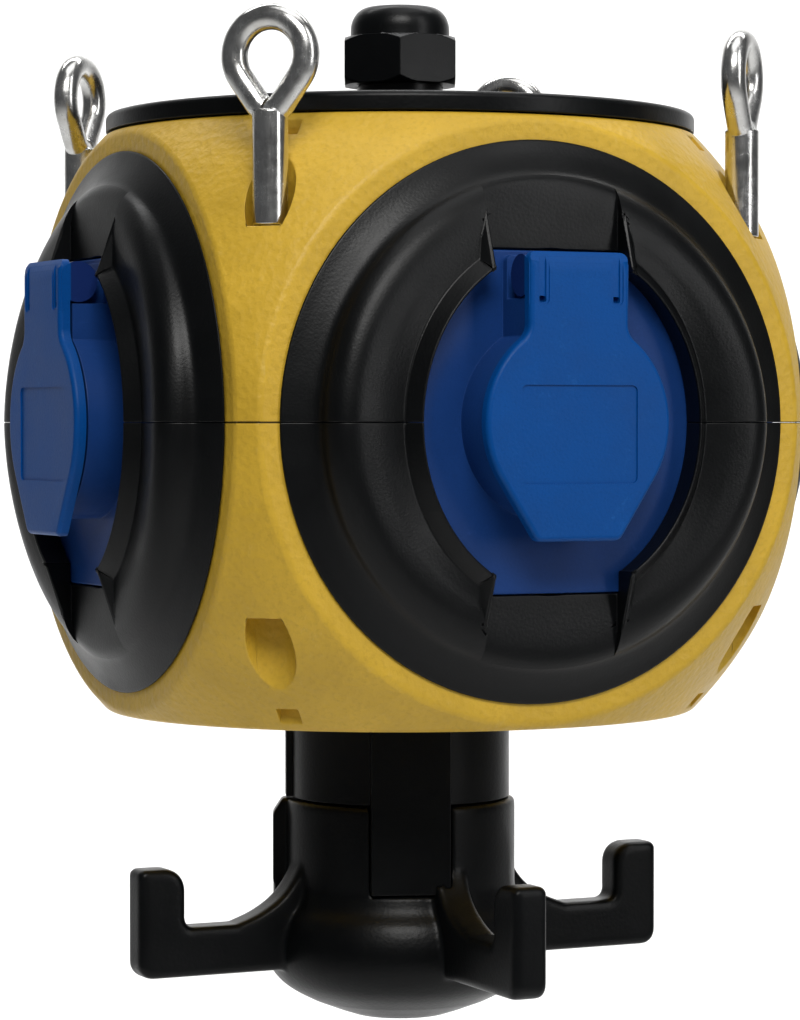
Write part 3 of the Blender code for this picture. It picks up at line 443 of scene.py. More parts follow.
class Nodes:
    """A material's node tree, with short ways to add what these materials repeat."""

    def __init__(self, name):
        self.material = bpy.data.materials.new(name)
        self.material.use_nodes = True
        self.tree = self.material.node_tree
        self.place = self.add("ShaderNodeTexCoord", "Object", {})

    def feed(self, target, value):
        """Links an output to an input, or sets the input's own value; colours come without alpha."""
        if isinstance(value, bpy.types.NodeSocket):
            self.tree.links.new(value, target)
        else:
            target.default_value = (*value, 1) if target.type == "RGBA" else value

    def add(self, kind, output, inputs, **settings):
        node = self.tree.nodes.new(kind)
        for key, value in settings.items():
            setattr(node, key, value)
        for key, value in inputs.items():
            self.feed(node.inputs[key], value)
        return node.outputs[output]

    def noise(self, size, detail=3.0, roughness=0.5, stretch=(1, 1, 1)):
        """Noise whose features are about size millimetres across."""
        place = self.add("ShaderNodeMapping", "Vector", {"Vector": self.place, "Scale": stretch})
        inputs = {"Vector": place, "Scale": 1 / (size * MM), "Detail": detail, "Roughness": roughness}
        return self.add("ShaderNodeTexNoise", "Fac", inputs)

    def pebbles(self, size):
        """Rounded cells about size millimetres across, as on a spark-eroded mould."""
        inputs = {"Vector": self.place, "Scale": 1 / (size * MM), "Smoothness": 0.6}
        return self.add("ShaderNodeTexVoronoi", "Distance", inputs, feature="SMOOTH_F1")

    def height(self):
        return self.add("ShaderNodeSeparateXYZ", "Z", {"Vector": self.place})

    def span(self, value, low=0, high=1, start=0.3, end=0.7):
        """Maps a value from start..end to low..high."""
        inputs = {"Value": value, "From Min": start, "From Max": end, "To Min": low, "To Max": high}
        return self.add("ShaderNodeMapRange", "Result", inputs)

    def mixed(self, share, first, second):
        """A mix of two colours; the share is the second's."""
        return self.add("ShaderNodeMix", 2, {0: share, 6: first, 7: second}, data_type="RGBA")

    def product(self, first, second, operation="MULTIPLY"):
        return self.add("ShaderNodeMath", 0, {0: first, 1: second}, operation=operation)

    def bump(self, height, depth, strength=1.0, normal=None):
        """Relief of about depth millimetres, over another where one is given."""
        inputs = {"Height": height, "Distance": depth * MM, "Strength": strength}
        if normal:
            inputs["Normal"] = normal
        return self.add("ShaderNodeBump", "Normal", inputs)

    def finish(self, colour, roughness, normal, **more):
        shader = self.tree.nodes["Principled BSDF"]
        inputs = {"Base Color": colour, "Roughness": roughness, "Normal": normal, **more}
        for key, value in inputs.items():
            self.feed(shader.inputs[key], value)
        return self.material


def scaled(colour, factor):
    return tuple(channel * factor for channel in colour)


def painted_seam_shade(nodes):
    """A dark line painted along the seam where the half shells meet, as painted shade in the gap between
    them, and its colour.
    """
    height = nodes.height()
    return nodes.span(nodes.product(height, height), 1, 0, 0, (0.33 * MM) ** 2), (0.010, 0.007, 0.002)


def cheek_plastic_and_shade(nodes):
    """The darker plastic behind the lid's plate, made darker still as painted shade on the cheeks, and its
    colour.
    """
    low, high = (LID_BACK - 0.3) * MM, (LID_BACK - 0.1) * MM
    return nodes.span(nodes.height(), 1, 0, low, high), (0.006, 0.022, 0.12)


def moulded(name, colour, worn, grain, depth, roughness, specular, mottle=0.08, speckle=0.55, painted_shade_mark=None):
    """Injection-moulded plastic: textured skin, mottling, specks, rubbed patches and a painted shade mark of
    its own, where one is given.
    """
    nodes = Nodes(name)
    cloud = nodes.noise(22, 4, 0.6)
    fine = nodes.noise(grain, 3, 0.6)
    cells = nodes.pebbles(grain * 1.7)
    base = nodes.mixed(nodes.span(cloud), scaled(colour, 1 - mottle), scaled(colour, 1 + mottle))
    flecked = nodes.mixed(nodes.span(fine, 0.0, speckle, 0.5, 0.75), base, scaled(colour, 0.78))
    rub = nodes.product(
        nodes.span(nodes.noise(9, 5, 0.7), 0, 1, 0.56, 0.72),
        nodes.span(nodes.noise(1.2, 4, 0.7, (1, 1, 0.12)), 0, 1, 0.5, 0.7),
    )
    shade = nodes.mixed(nodes.product(rub, 0.35), flecked, worn)
    # painted shade: the dark seam line on the shells, or the shaded cheeks behind the lid's plate
    if painted_shade_mark:
        share, painted_shade_colour = painted_shade_mark(nodes)
        shade = nodes.mixed(share, shade, painted_shade_colour)
    uneven = nodes.product(cloud, nodes.product(fine, 0.35), "ADD")
    gloss = nodes.span(uneven, roughness - 0.05, roughness + 0.07, 0.4, 0.9)
    skin = nodes.bump(cells, depth, 0.5)
    skin = nodes.bump(fine, depth * 0.7, 0.6, skin)
    return nodes.finish(shade, gloss, skin, **{"Specular IOR Level": specular})


def plated_steel():
    """Zinc-plated steel: drawn along its length, with cloudy passivation and small pits."""
    nodes = Nodes("zinc_steel")
    cloud = nodes.noise(5, 5, 0.65)
    drawn = nodes.noise(0.5, 3, 0.6, (1, 1, 0.08))
    pits = nodes.span(nodes.noise(0.9, 4, 0.7), 0, 1, 0.64, 0.72)
    base = nodes.mixed(nodes.span(cloud), (0.58, 0.57, 0.55), (0.78, 0.78, 0.77))
    shade = nodes.mixed(nodes.product(pits, 0.6), base, (0.16, 0.15, 0.13))
    gloss = nodes.span(nodes.product(cloud, nodes.product(drawn, 0.5), "ADD"), 0.13, 0.32, 0.45, 1.0)
    skin = nodes.bump(drawn, 0.02, 0.35)
    skin = nodes.bump(pits, -0.03, 0.5, skin)
    return nodes.finish(shade, gloss, skin, Metallic=1.0)


def brass():
    nodes = Nodes("brass")
    cloud = nodes.noise(3, 4, 0.6)
    drawn = nodes.noise(0.3, 3, 0.6, (1, 0.1, 1))
    base = nodes.mixed(nodes.span(cloud), (0.62, 0.40, 0.12), (0.80, 0.58, 0.24))
    gloss = nodes.span(drawn, 0.18, 0.34)
    return nodes.finish(base, gloss, nodes.bump(drawn, 0.02, 0.4), Metallic=1.0)


def rubber(name, colour, grain=0.35):
    """Seals and cable jackets: matt, with a chalky bloom in patches."""
    nodes = Nodes(name)
    bloom = nodes.span(nodes.noise(6, 5, 0.7), 0, 1, 0.5, 0.75)
    fine = nodes.noise(grain, 3, 0.6)
    shade = nodes.mixed(nodes.product(bloom, 0.5), colour, scaled(colour, 2.2))
    gloss = nodes.span(fine, 0.62, 0.78)
    return nodes.finish(shade, gloss, nodes.bump(fine, 0.03, 0.5), **{"Specular IOR Level": 0.35})


# Moulded plastics: colour, worn colour, grain and its depth in mm, roughness, specular level, then options
BLACK = (0.0020, 0.0024, 0.0028), (0.014, 0.015, 0.016)
MOULDINGS = {
    # the last option of a finish is a painted shade mark: the seam line on the shells, the shaded cheeks on
    # the lid
    "yellow_shell": ((0.60, 0.375, 0.032), (0.72, 0.56, 0.20), 1.3, 0.34, 0.42, 0.35, 0.10, 0.5, painted_seam_shade),
    "black_bezel": (*BLACK, 0.45, 0.045, 0.35, 0.22, 0.2),
    "black_plastic": (*BLACK, 0.6, 0.05, 0.34, 0.17, 0.2),
    "gland_black": (*BLACK, 0.35, 0.03, 0.30, 0.2, 0.2),
    "blue_lid": ((0.0, 0.060, 0.26), (0.02, 0.15, 0.44), 0.5, 0.05, 0.42, 0.14, 0.08, 0.55, cheek_plastic_and_shade),
    "blue_socket": ((0.008, 0.042, 0.18), (0.03, 0.09, 0.32), 0.5, 0.03, 0.40, 0.15),
    "contact_insert": ((0.06, 0.065, 0.07), (0.12, 0.12, 0.12), 0.4, 0.03, 0.45, 0.5),
    "grey_plastic": ((0.25, 0.26, 0.27), (0.4, 0.4, 0.4), 0.4, 0.03, 0.45, 0.5),
}


def make_paint():
    paint = {slot: moulded(slot, *finish) for slot, finish in MOULDINGS.items()}
    paint["seal_rubber"] = rubber("seal_rubber", (0.014, 0.014, 0.015))
    paint["cable_jacket"] = rubber("cable_jacket", (0.02, 0.02, 0.022), 0.6)
    paint["zinc_steel"] = plated_steel()
    paint["brass"] = brass()
    return paint


# ---- Placing


def place(source, slot, paint, spots):
    """Gives the source's mesh to a piece for each spot and drops the source.

    A spot is the CAD node that the piece stands in for, its body, and its matrix in the seam frame.
    """
    source.data.materials.append(paint[slot])
    for node, body, matrix in spots:
        piece = bpy.data.objects.new(node + "_fine", source.data)
        bpy.context.scene.collection.objects.link(piece)
        piece.matrix_world = Matrix.Translation((0, 0, SEAM_HEIGHT)) @ matrix
        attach(piece, body)
        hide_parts(node)
    bpy.data.objects.remove(source, do_unlink=True)


def side_matrix(degrees):
    """The face frame of a side: X to the right, Y up and Z outwards."""
    return Matrix.Rotation(math.radians(degrees), 4, "Z") @ Matrix.Rotation(math.pi / 2, 4, "X")


# ---- Half shells


def edge_fillet(plane):
    """The rounded edge between the ball and a flat cut at this distance, from the flat to the ball."""
    edge = math.sqrt(BALL_RADIUS**2 - plane**2)
    slope = math.degrees(math.asin(plane / BALL_RADIUS))
    reach = EDGE_RADIUS * math.tan(math.radians(90 - slope) / 2)
    return arc((edge - reach, plane - EDGE_RADIUS), EDGE_RADIUS, 90, slope, 6)


def side_cutter():
    """What lies beyond a side's flat and its rounded edge; it stops just past the ball."""
    fillet = edge_fillet(SIDE_PLANE)
    slope = math.asin(SIDE_PLANE / BALL_RADIUS) + math.radians(3)
    reach = 1.1
    past = (fillet[-1][0] + reach * math.sin(slope), fillet[-1][1] - reach * math.cos(slope))
    section = [(0, SIDE_PLANE), *fillet, past, (past[0], 125), (0, 125)]
    return turned(lathe(section, HUGE), 90, "X")


def shell_cutters(hole_radius, bolt_head_pocket):
    """Holes for the sockets and the end pieces, the corner pockets and the rim notches, all apart."""
    counterbore = (COUNTERBORE_TOP, COUNTERBORE_RADIUS) if bolt_head_pocket else ()
    pocket = stepped(0, -5, BOLT_HOLE_RADIUS, *counterbore, LEDGE_HEIGHT, POCKET_RADIUS, 90, 0)
    width, depth, height = RIM_NOTCH
    radius, middle = RIM_NOTCH_PLACE
    low = (radius - depth / 2, -width / 2, middle - height / 2)
    high = (radius + depth / 2, width / 2, middle + height / 2)
    socket = stepped(0, 65, SOCKET_HOLE_RADIUS, 90, 0)
    tools = [
        lathe(stepped(0, 60, hole_radius, 90, 0)),
        around(lambda: turned(lathe(socket), 90, "X"), SIDES.values()),
        around(lambda: shifted(lathe(pocket, 40), CORNER_RADIUS, 0, 0), CORNERS.values()),
        around(lambda: block(low, high), CORNERS.values()),
    ]
    return joined(tools)


def half_shell(hole_radius, bolt_head_pocket):
    """The upper half; the lower one is the same piece turned over, with its own holes."""
    low, slope = SEAM_HALF_GAP, math.degrees(math.asin(END_PLANE / BALL_RADIUS))
    start = math.degrees(math.asin((low + SEAM_CHAMFER) / BALL_RADIUS))
    section = [(0, low), (BALL_RADIUS - SEAM_CHAMFER, low)]
    section += arc((0, 0), BALL_RADIUS, start, slope, 30)[:-1]
    section += reversed(edge_fillet(END_PLANE))
    shell = lathe([*section, (0, END_PLANE)], HUGE)
    cut(shell, around(side_cutter, SIDES.values()))
    inner, side = BALL_RADIUS - WALL, SIDE_PLANE - WALL
    top = math.degrees(math.asin((END_PLANE - WALL) / inner))
    section = [(0, -2), (inner, -2), *arc((0, 0), inner, 0, top, 8), (0, END_PLANE - WALL)]
    cavity = lathe(section)
    keep(cavity, block((-side, -side, -5), (side, side, 90)))
    post = stepped(0, -5, POST_RADIUS, 90, 0)
    posts = around(lambda: shifted(lathe(post, SMALL), CORNER_RADIUS, 0, 0), CORNERS.values())
    cut(cavity, posts)
    cut(shell, cavity)
    cut(shell, shell_cutters(hole_radius, bolt_head_pocket))
    return smoothed(bevelled(shell, 0.3, 2, 40))


def add_shells(paint):
    turned_over = Matrix.Rotation(math.pi, 4, "X")
    upper, lower = half_shell(TOP_HOLE_RADIUS, False), half_shell(BOTTOM_HOLE_RADIUS, True)
    place(upper, "yellow_shell", paint, [("upper_shell", "housing", UPRIGHT)])
    place(lower, "yellow_shell", paint, [("lower_shell", "housing", turned_over)])


# ---- Side assemblies, in the face frame


def flange_outline(margin=0.0):
    """A disc cut flat above and below."""
    radius, flat = FLANGE_RADIUS + margin, FLANGE_FLAT + margin
    limit = math.degrees(math.asin(flat / radius))
    return arc((0, 0), radius, -limit, limit, 40) + arc((0, 0), radius, 180 - limit, 180 + limit, 40)


def bezel_section(angle):
    """The bezel's outline in the half plane at this angle: foot, dome, rim and the wall of the oval mouth."""
    half_width, half_height = BEZEL_MOUTH
    mouth = half_width * half_height / math.hypot(half_height * math.cos(angle), half_width * math.sin(angle))
    share = abs(math.sin(angle)) ** 1.5
    dome = [tuple(Vector(side).lerp(Vector(top), share)) for side, top in zip(BEZEL_SIDE, BEZEL_TOP)]
    section = flowing([*BEZEL_FOOT, *dome, (mouth + RIM_WIDTH, RIM_FOOT)], 5)
    section += [(mouth + RIM_EDGE, RIM_FRONT), (mouth, RIM_FRONT - 0.3), (mouth, BEZEL_BACK)]
    return [(BEZEL_FOOT[0][0], BEZEL_BACK), *section]


def notch_fin(side):
    """The rim carried on up one side of the notch: a thin edge with a slope that falls away from it."""
    base = [(height, BEZEL_FOOT[2][1] - 1) for height, _ in reversed(FIN_EDGE)]
    steps = ((-1.0, FIN_EDGE), (FIN_CREST, FIN_EDGE), (FIN_WIDTH, FIN_FOOT))
    sections = []
    for beyond, line in steps:
        across = side * (NOTCH_HALF_WIDTH + beyond)
        sections.append([(across, height, out) for height, out in [*line, *base]])
    return sweep(sections, False)


def bezel_half():
    """The upper half of a bezel: a domed ring, a sharp rim round its oval mouth and a notch above the lid."""
    sections = []
    for step in range(HUGE):
        angle = 2 * math.pi * step / HUGE
        sections.append([(r * math.cos(angle), r * math.sin(angle), out) for r, out in bezel_section(angle)])
    bezel = sweep(sections, True)
    for side in (-1, 1):
        fuse(bezel, notch_fin(side))
    cut(bezel, prism(flange_outline(GAP), 75, FLANGE_FRONT + GAP))
    notch = lathe([*flowing(NOTCH_FLOOR, 4), (66, 105), (20, 105)], HUGE)
    keep(notch, block((-NOTCH_HALF_WIDTH, 0, 70), (NOTCH_HALF_WIDTH, 90, 110)))
    cut(bezel, notch)
    keep(bezel, block((-90, SEAM_HALF_GAP, 70), (90, 90, 105)))
    low, high = FIN_END
    return smoothed(bevelled(bezel, 0.35, 3, 32, lambda middle: abs(middle.x) < 24 and low < middle.y < high))


def socket_body():
    """Flange, collar, rear barrel and hinge block in one moulding, with a round well open to the front."""
    body = soft_prism(flange_outline(), SIDE_PLANE + GAP, FLANGE_FRONT, 0.6)
    outside = stepped(0, BARREL_BACK, BARREL_RADIUS, 84, COLLAR_RADIUS, COLLAR_FRONT, 0)
    fuse(body, lathe(outside, LARGE))
    half, top = PIN_HALF_LENGTH, TAB_TOP - 0.5
    low, high, front = HINGE_WALL
    fuse(body, block((-half, low, 85), (half, high, front)))
    outline = rounded([(-half, high - 1, 0), (half, high - 1, 0), (half, top, 1.5), (-half, top, 1.5)])
    fuse(body, prism(outline, 85, PEDESTAL_FRONT))
    low, high = KNUCKLE_ARM
    arm = [(low, 85), (high, 85), (high, PIN_OUT), (low, PIN_OUT)]
    fuse(body, prism_across(arm, -KNUCKLE_HALF_WIDTH, KNUCKLE_HALF_WIDTH))
    knuckle = circle((PIN_HEIGHT, PIN_OUT), KNUCKLE_RADIUS, 32)
    fuse(body, prism_across(knuckle, -KNUCKLE_HALF_WIDTH, KNUCKLE_HALF_WIDTH))
    slot = [(31.8, 93), (45, 93), (45, 105), (31.8, 105)]
    cut(body, prism_across(slot, -SPRING_SLOT_HALF_WIDTH, SPRING_SLOT_HALF_WIDTH))
    cut(body, prism_across(circle((PIN_HEIGHT, PIN_OUT), PIN_HOLE_RADIUS), -20, 20))
    mouth = WELL_RADIUS + WELL_CHAMFER
    well = stepped(0, 50, LEAD_HOLE_RADIUS, WELL_BACK, WELL_RADIUS, COLLAR_FRONT - WELL_CHAMFER)
    well += [(mouth, COLLAR_FRONT), (mouth, 110), (0, 110)]
    cut(body, lathe(well, LARGE))
    return smoothed(bevelled(body, 0.3))


def socket_insert():
    """The contact carrier at the bottom of the well, with two contact holes and room for the earth clip."""
    half_width = EARTH_HALF_WIDTH + 0.4
    inner = EARTH_OUTER - EARTH_THICKNESS - 0.4
    limit = math.degrees(math.acos(half_width / INSERT_RADIUS))
    right = [(half_width, -inner), *arc((0, 0), INSERT_RADIUS, -limit, limit, 40), (half_width, inner)]
    outline = right + [(-x, y) for x, y in reversed(right)]
    insert = soft_prism(outline, INSERT_BACK, INSERT_FRONT, 0.5)
    mouth = CONTACT_HOLE_RADIUS + CONTACT_CHAMFER
    holes = []
    for side in (-1, 1):
        section = stepped(0, 60, CONTACT_HOLE_RADIUS, INSERT_FRONT - CONTACT_CHAMFER)
        section += [(mouth, INSERT_FRONT), (mouth, 90), (0, 90)]
        holes.append(shifted(lathe(section, 32), side * CONTACT_SPACING / 2, 0, 0))
    cut(insert, joined(holes))
    return smoothed(bevelled(insert, 0.2))


def earth_clip():
    """One bent strip: it lies behind the insert and shows as a spring tab above and below the contacts."""
    outer, inner = EARTH_OUTER, EARTH_OUTER - EARTH_THICKNESS
    bend = EARTH_BACK + EARTH_THICKNESS
    hump = [(-1.2 * math.sin(math.pi * step / 6), 85 + step) for step in range(7)]
    half = [(inner, bend), *[(inner + dip, out) for dip, out in hump], (inner, EARTH_FRONT)]
    half += [(outer, EARTH_FRONT), *[(outer + dip, out) for dip, out in reversed(hump)], (outer, EARTH_BACK)]
    mirrored = [(-height, out) for height, out in reversed(half)]
    clip = prism_across(half + mirrored, -EARTH_HALF_WIDTH, EARTH_HALF_WIDTH)
    return smoothed(bevelled(clip, 0.12, 2, 50))


def lid_outline():
    """A round lid with a hinge tab above and a tapered finger lip below."""
    tab_side = TAB_HALF_WIDTH + TAB_FILLET
    fillet_height = math.sqrt((LID_RADIUS + TAB_FILLET) ** 2 - tab_side**2)
    shoulder = math.degrees(math.atan2(fillet_height, tab_side))
    lip = Vector((LID_BOTTOM_HALF_WIDTH, LID_BOTTOM))
    lip_angle = math.degrees(math.atan2(lip.y, lip.x) + math.acos(LID_RADIUS / lip.length))
    right = arc((TAB_HALF_WIDTH - 2, TAB_TOP - 2), 2, 90, 0, 6)
    right += arc((tab_side, fillet_height), TAB_FILLET, 180, 180 + shoulder, 8)
    right += arc((0, 0), LID_RADIUS, shoulder, lip_angle, 36)[1:]
    right += rounded([(*right[-1], 0), (*lip, 2.5), (0, LID_BOTTOM, 0)], 6)[1:-1]
    return right + [(-x, y) for x, y in reversed(right)]


def lid_slot(side):
    """A shallow U-shaped recess with a narrower groove and a small deep hole at its lower end."""
    middle = side * SLOT_PLACE
    tools = []
    for half_width, drop_down, depth in ((1.75, 0.0, 0.25), (0.95, 0.7, 0.7)):
        low = SLOT_BOTTOM + drop_down
        outline = [(-half_width, low, half_width * 0.7), (half_width, low, half_width * 0.7)]
        outline += [(half_width, SLOT_TOP + 4, 0), (-half_width, SLOT_TOP + 4, 0)]
        slot = prism(rounded(outline, 4), LID_FRONT - depth, LID_FRONT + 1)
        tools.append(shifted(slot, middle, 0, 0))
    hole = rounded([(-0.95, 29.1, 0.5), (0.95, 29.1, 0.5), (0.95, 30.7, 0.5), (-0.95, 30.7, 0.5)], 3)
    tools.append(shifted(prism(hole, LID_FRONT - 2.0, LID_FRONT + 1), middle, 0, 0))
    return tools


def lid():
    """Plate with finger lip, label recess and seal groove, and a hinge tab with two cheeks round the pin."""
    plate = soft_prism(lid_outline(), LID_BACK, LID_FRONT, LID_EDGE_RADIUS)
    bend = (PIN_HEIGHT + 0.7, LID_FRONT - TAB_BEND_RADIUS)
    end = math.degrees(math.acos((TAB_TOP - bend[0]) / TAB_BEND_RADIUS))
    profile = [(LID_BOTTOM - 5, LID_FRONT + 1), (bend[0], LID_FRONT + 1)]
    profile += arc(bend, TAB_BEND_RADIUS, 90, end, 10)
    profile += [(TAB_TOP, LID_BACK - 6), (LID_BOTTOM - 5, LID_BACK - 6)]
    keep(plate, prism_across(profile, -40, 40))
    low = (-CHEEK_INNER, TAB_POCKET_LOW, LID_BACK - 1)
    cut(plate, block(low, (CHEEK_INNER, TAB_TOP + 5, LID_FRONT - TAB_WALL)))
    cheek = arc((PIN_HEIGHT, PIN_OUT), CHEEK_RADIUS, 60, -205, 40)
    cheek += [(28.5, LID_BACK + 0.3), (28.5, LID_FRONT - 0.8)]
    for side in (-1, 1):
        fuse(plate, prism_across(cheek, *sorted((side * CHEEK_INNER, side * TAB_HALF_WIDTH))))
    for side in (-1, 1):
        for tool in lid_slot(side):
            cut(plate, tool)
    hole = circle((PIN_HEIGHT, PIN_OUT), PIN_HOLE_RADIUS)
    cut(plate, prism_across(hole, -PIN_HOLE_DEPTH, PIN_HOLE_DEPTH))
    inner, outer = SEAL_INNER - GAP, SEAL_OUTER + GAP
    groove = stepped(inner, LID_BACK - 1, outer, SEAL_FRONT + GAP, inner)
    cut(plate, lathe(groove, LARGE))
    width, height = LABEL_SIZE
    corners = []
    for x, y in ((-1, -1), (1, -1), (1, 1), (-1, 1)):
        corners.append((x * width / 2, LABEL_MIDDLE + y * height / 2, LABEL_CORNER))
    cut(plate, prism(rounded(corners), LID_FRONT - LABEL_DEPTH, LID_FRONT + 1))
    return smoothed(plate)


def lid_seal():
    """A soft ring with a rounded sealing edge."""
    radius = (SEAL_OUTER - SEAL_INNER) / 2
    middle = (SEAL_INNER + SEAL_OUTER) / 2
    section = arc((middle, SEAL_BACK + 1), radius, 180, 360, 8)
    section = [(r, max(out, SEAL_BACK)) for r, out in section]
    section += [(SEAL_OUTER, SEAL_FRONT), (SEAL_INNER, SEAL_FRONT)]
    return smoothed(lathe(section, LARGE), 50)


def lid_pin():
    """On the hinge axis, along X, with rounded ends."""
    end = PIN_HALF_LENGTH - 0.4
    section = [(0, -end, 0), (PIN_RADIUS, -end, 0.4), (PIN_RADIUS, end, 0.4), (0, end, 0)]
    return smoothed(turned(lathe(rounded(section, 3), SMALL), 90, "Y"))


def tube(path, radius, sides, closed=False):
    """A round wire along a path of 3-D points, with its frame carried along without twist."""
    points = [Vector(point) for point in path]
    count = len(points)
    sections, normal = [], None
    for index, point in enumerate(points):
        before = points[index - 1] if closed or index else point
        after = points[(index + 1) % count] if closed or index < count - 1 else point
        tangent = (after - before).normalized()
        if normal is None:
            normal = tangent.orthogonal().normalized()
        normal = (normal - tangent * normal.dot(tangent)).normalized()
        across = tangent.cross(normal)
        section = circle((0, 0), radius, sides)
        sections.append([tuple(point + normal * x + across * y) for x, y in section])
    return sweep(sections, closed)


def lid_spring():
    """A torsion spring round the pin: a coil along X."""
    per_turn = 20
    path = []
    for step in range(SPRING_TURNS * per_turn + 1):
        angle = 2 * math.pi * step / per_turn
        along = SPRING_PITCH * (step / per_turn - SPRING_TURNS / 2)
        path.append((along, SPRING_RADIUS * math.cos(angle), SPRING_RADIUS * math.sin(angle)))
    return smoothed(tube(path, SPRING_WIRE_RADIUS, 10))


def add_sides(paint):
    halves = {"upper": UPRIGHT, "lower": Matrix.Rotation(math.pi, 4, "Z")}
    spots = []
    for side, degrees in SIDES.items():
        for half, turn in halves.items():
            spots.append((f"bezel_{side}_{half}", "housing", side_matrix(degrees) @ turn))
    place(bezel_half(), "black_bezel", paint, spots)
    hinge = Matrix.Translation(Vector((0, PIN_HEIGHT, PIN_OUT)) * MM)
    parts = (
        (socket_body, "blue_socket", "housing", UPRIGHT),
        (socket_insert, "contact_insert", "housing", UPRIGHT),
        (earth_clip, "brass", "housing", UPRIGHT),
        (lid, "blue_lid", "{}_lid", UPRIGHT),
        (lid_seal, "seal_rubber", "{}_lid", UPRIGHT),
        (lid_pin, "zinc_steel", "housing", hinge),
        (lid_spring, "zinc_steel", "housing", hinge),
    )
    for make, slot, body, within in parts:
        spots = []
        for side, degrees in SIDES.items():
            spots.append((f"{make.__name__}_{side}", body.format(side), side_matrix(degrees) @ within))
        place(make(), slot, paint, spots)


# ---- Corner fastenings, built on +X


def eye_nut():
    """A threaded sleeve with a bent wire eye on top, whose free end butts against its own foot."""
    lean = math.degrees(math.asin((EYE_RADIUS - EYE_FOOT_RADIUS) / (EYE_MIDDLE - EYE_FOOT_MIDDLE)))
    path = arc((0, EYE_MIDDLE), EYE_RADIUS, -lean, 180 + lean, 56)
    path += arc((0, EYE_FOOT_MIDDLE), EYE_FOOT_RADIUS, 180 + lean, 360 - lean, 12)
    eye = tube([(0, across, height) for across, height in path], EYE_WIRE_RADIUS, 20, True)
    slit = block((-6, -0.25, 0.6), (6, 0.25, 8))
    turned(slit, -24, "X")
    cut(eye, shifted(slit, 0, -1.4, SLEEVE_TOP - 0.4))
    bottom = LEDGE_HEIGHT + GAP
    low, high, bore = SLEEVE_CHAMFERS
    section = [(SLEEVE_BORE_RADIUS + bore, bottom), (SLEEVE_RADIUS - low, bottom)]
    section += [(SLEEVE_RADIUS, bottom + low), (SLEEVE_RADIUS, SLEEVE_TOP - high)]
    section += [(SLEEVE_RADIUS - high, SLEEVE_TOP), (0, SLEEVE_TOP)]
    section += stepped(0, SLEEVE_BORE_TOP, SLEEVE_BORE_RADIUS, bottom + bore)
    nut = lathe(section, 40)
    fuse(nut, eye)
    return smoothed(shifted(bevelled(nut, 0.18), CORNER_RADIUS, 0, 0))


def threaded(radius, low, high, depth=0.5):
    """The outside of a turned thread, from low to high, as ridges at the pitch."""
    section = []
    for step in range(int((high - low) / THREAD_PITCH)):
        height = low + step * THREAD_PITCH
        section += [(radius - depth, height), (radius, height + THREAD_PITCH * 0.5)]
    return section + [(radius - depth, high)]


def clamp_bolt():
    """Cap screw with a hexagon socket."""
    low, high = BOLT_HEAD
    section = [(0, low), (BOLT_HEAD_RADIUS - 0.5, low)]
    section += [(BOLT_HEAD_RADIUS, low + 0.5), (BOLT_HEAD_RADIUS, high), (BOLT_RADIUS, high)]
    section += [*threaded(BOLT_RADIUS, 20, BOLT_TOP), (0, BOLT_TOP)]
    bolt = lathe(section, 32)
    cut(bolt, prism(hexagon(3.8), low - 1, low + 2.8))
    return smoothed(shifted(bolt, CORNER_RADIUS, 0, 0), 30)


def add_corners(paint):
    for make in (eye_nut, clamp_bolt):
        spots = []
        for corner, degrees in CORNERS.items():
            turn = Matrix.Rotation(math.radians(degrees), 4, "Z")
            spots.append((f"{make.__name__}_{corner}", "housing", turn))
        place(make(), "zinc_steel", paint, spots)


# ---- Top disc and gland


def top_disc():
    bottom = END_PLANE + GAP
    groove_inner, groove_outer, groove_depth = DISC_GROOVE
    section = [(DISC_HOLE_RADIUS, SPIGOT_BOTTOM, 0.3), (SPIGOT_RADIUS, SPIGOT_BOTTOM, 0.5)]
    steps = stepped(SPIGOT_RADIUS, bottom, groove_inner, bottom + groove_depth, groove_outer, bottom)
    section += [(radius, height, 0) for radius, height in steps]
    section += [(DISC_RADIUS, bottom, 0.4), (DISC_RADIUS, DISC_TOP, 1.6), (DISC_HOLE_RADIUS, DISC_TOP, 0.3)]
    return smoothed(lathe(rounded(section, 4), HUGE))


def gland_body():
    """Threaded stem, thin foot flange and collar."""
    foot = DISC_TOP + GAP
    radius, depth = GLAND_THREAD_RADIUS, GLAND_THREAD_DEPTH
    section = [(GLAND_BORE_RADIUS, GLAND_BOTTOM), *threaded(radius, GLAND_BOTTOM, foot - 4, depth)]
    section += [(radius - depth, foot), (GLAND_FOOT_RADIUS - 0.3, foot)]
    section += [(GLAND_FOOT_RADIUS, foot + 0.3), (GLAND_FOOT_RADIUS, GLAND_FOOT_TOP - 0.5)]
    section.append((GLAND_FOOT_RADIUS - 0.5, GLAND_FOOT_TOP))
    neck = (GLAND_COLLAR_RADIUS, GLAND_COLLAR_TOP, GLAND_NECK_RADIUS, GLAND_NECK_TOP, GLAND_BORE_RADIUS)
    section += [(GLAND_COLLAR_RADIUS, GLAND_FOOT_TOP), *stepped(*neck)]
    return smoothed(lathe(section, 64), 30)


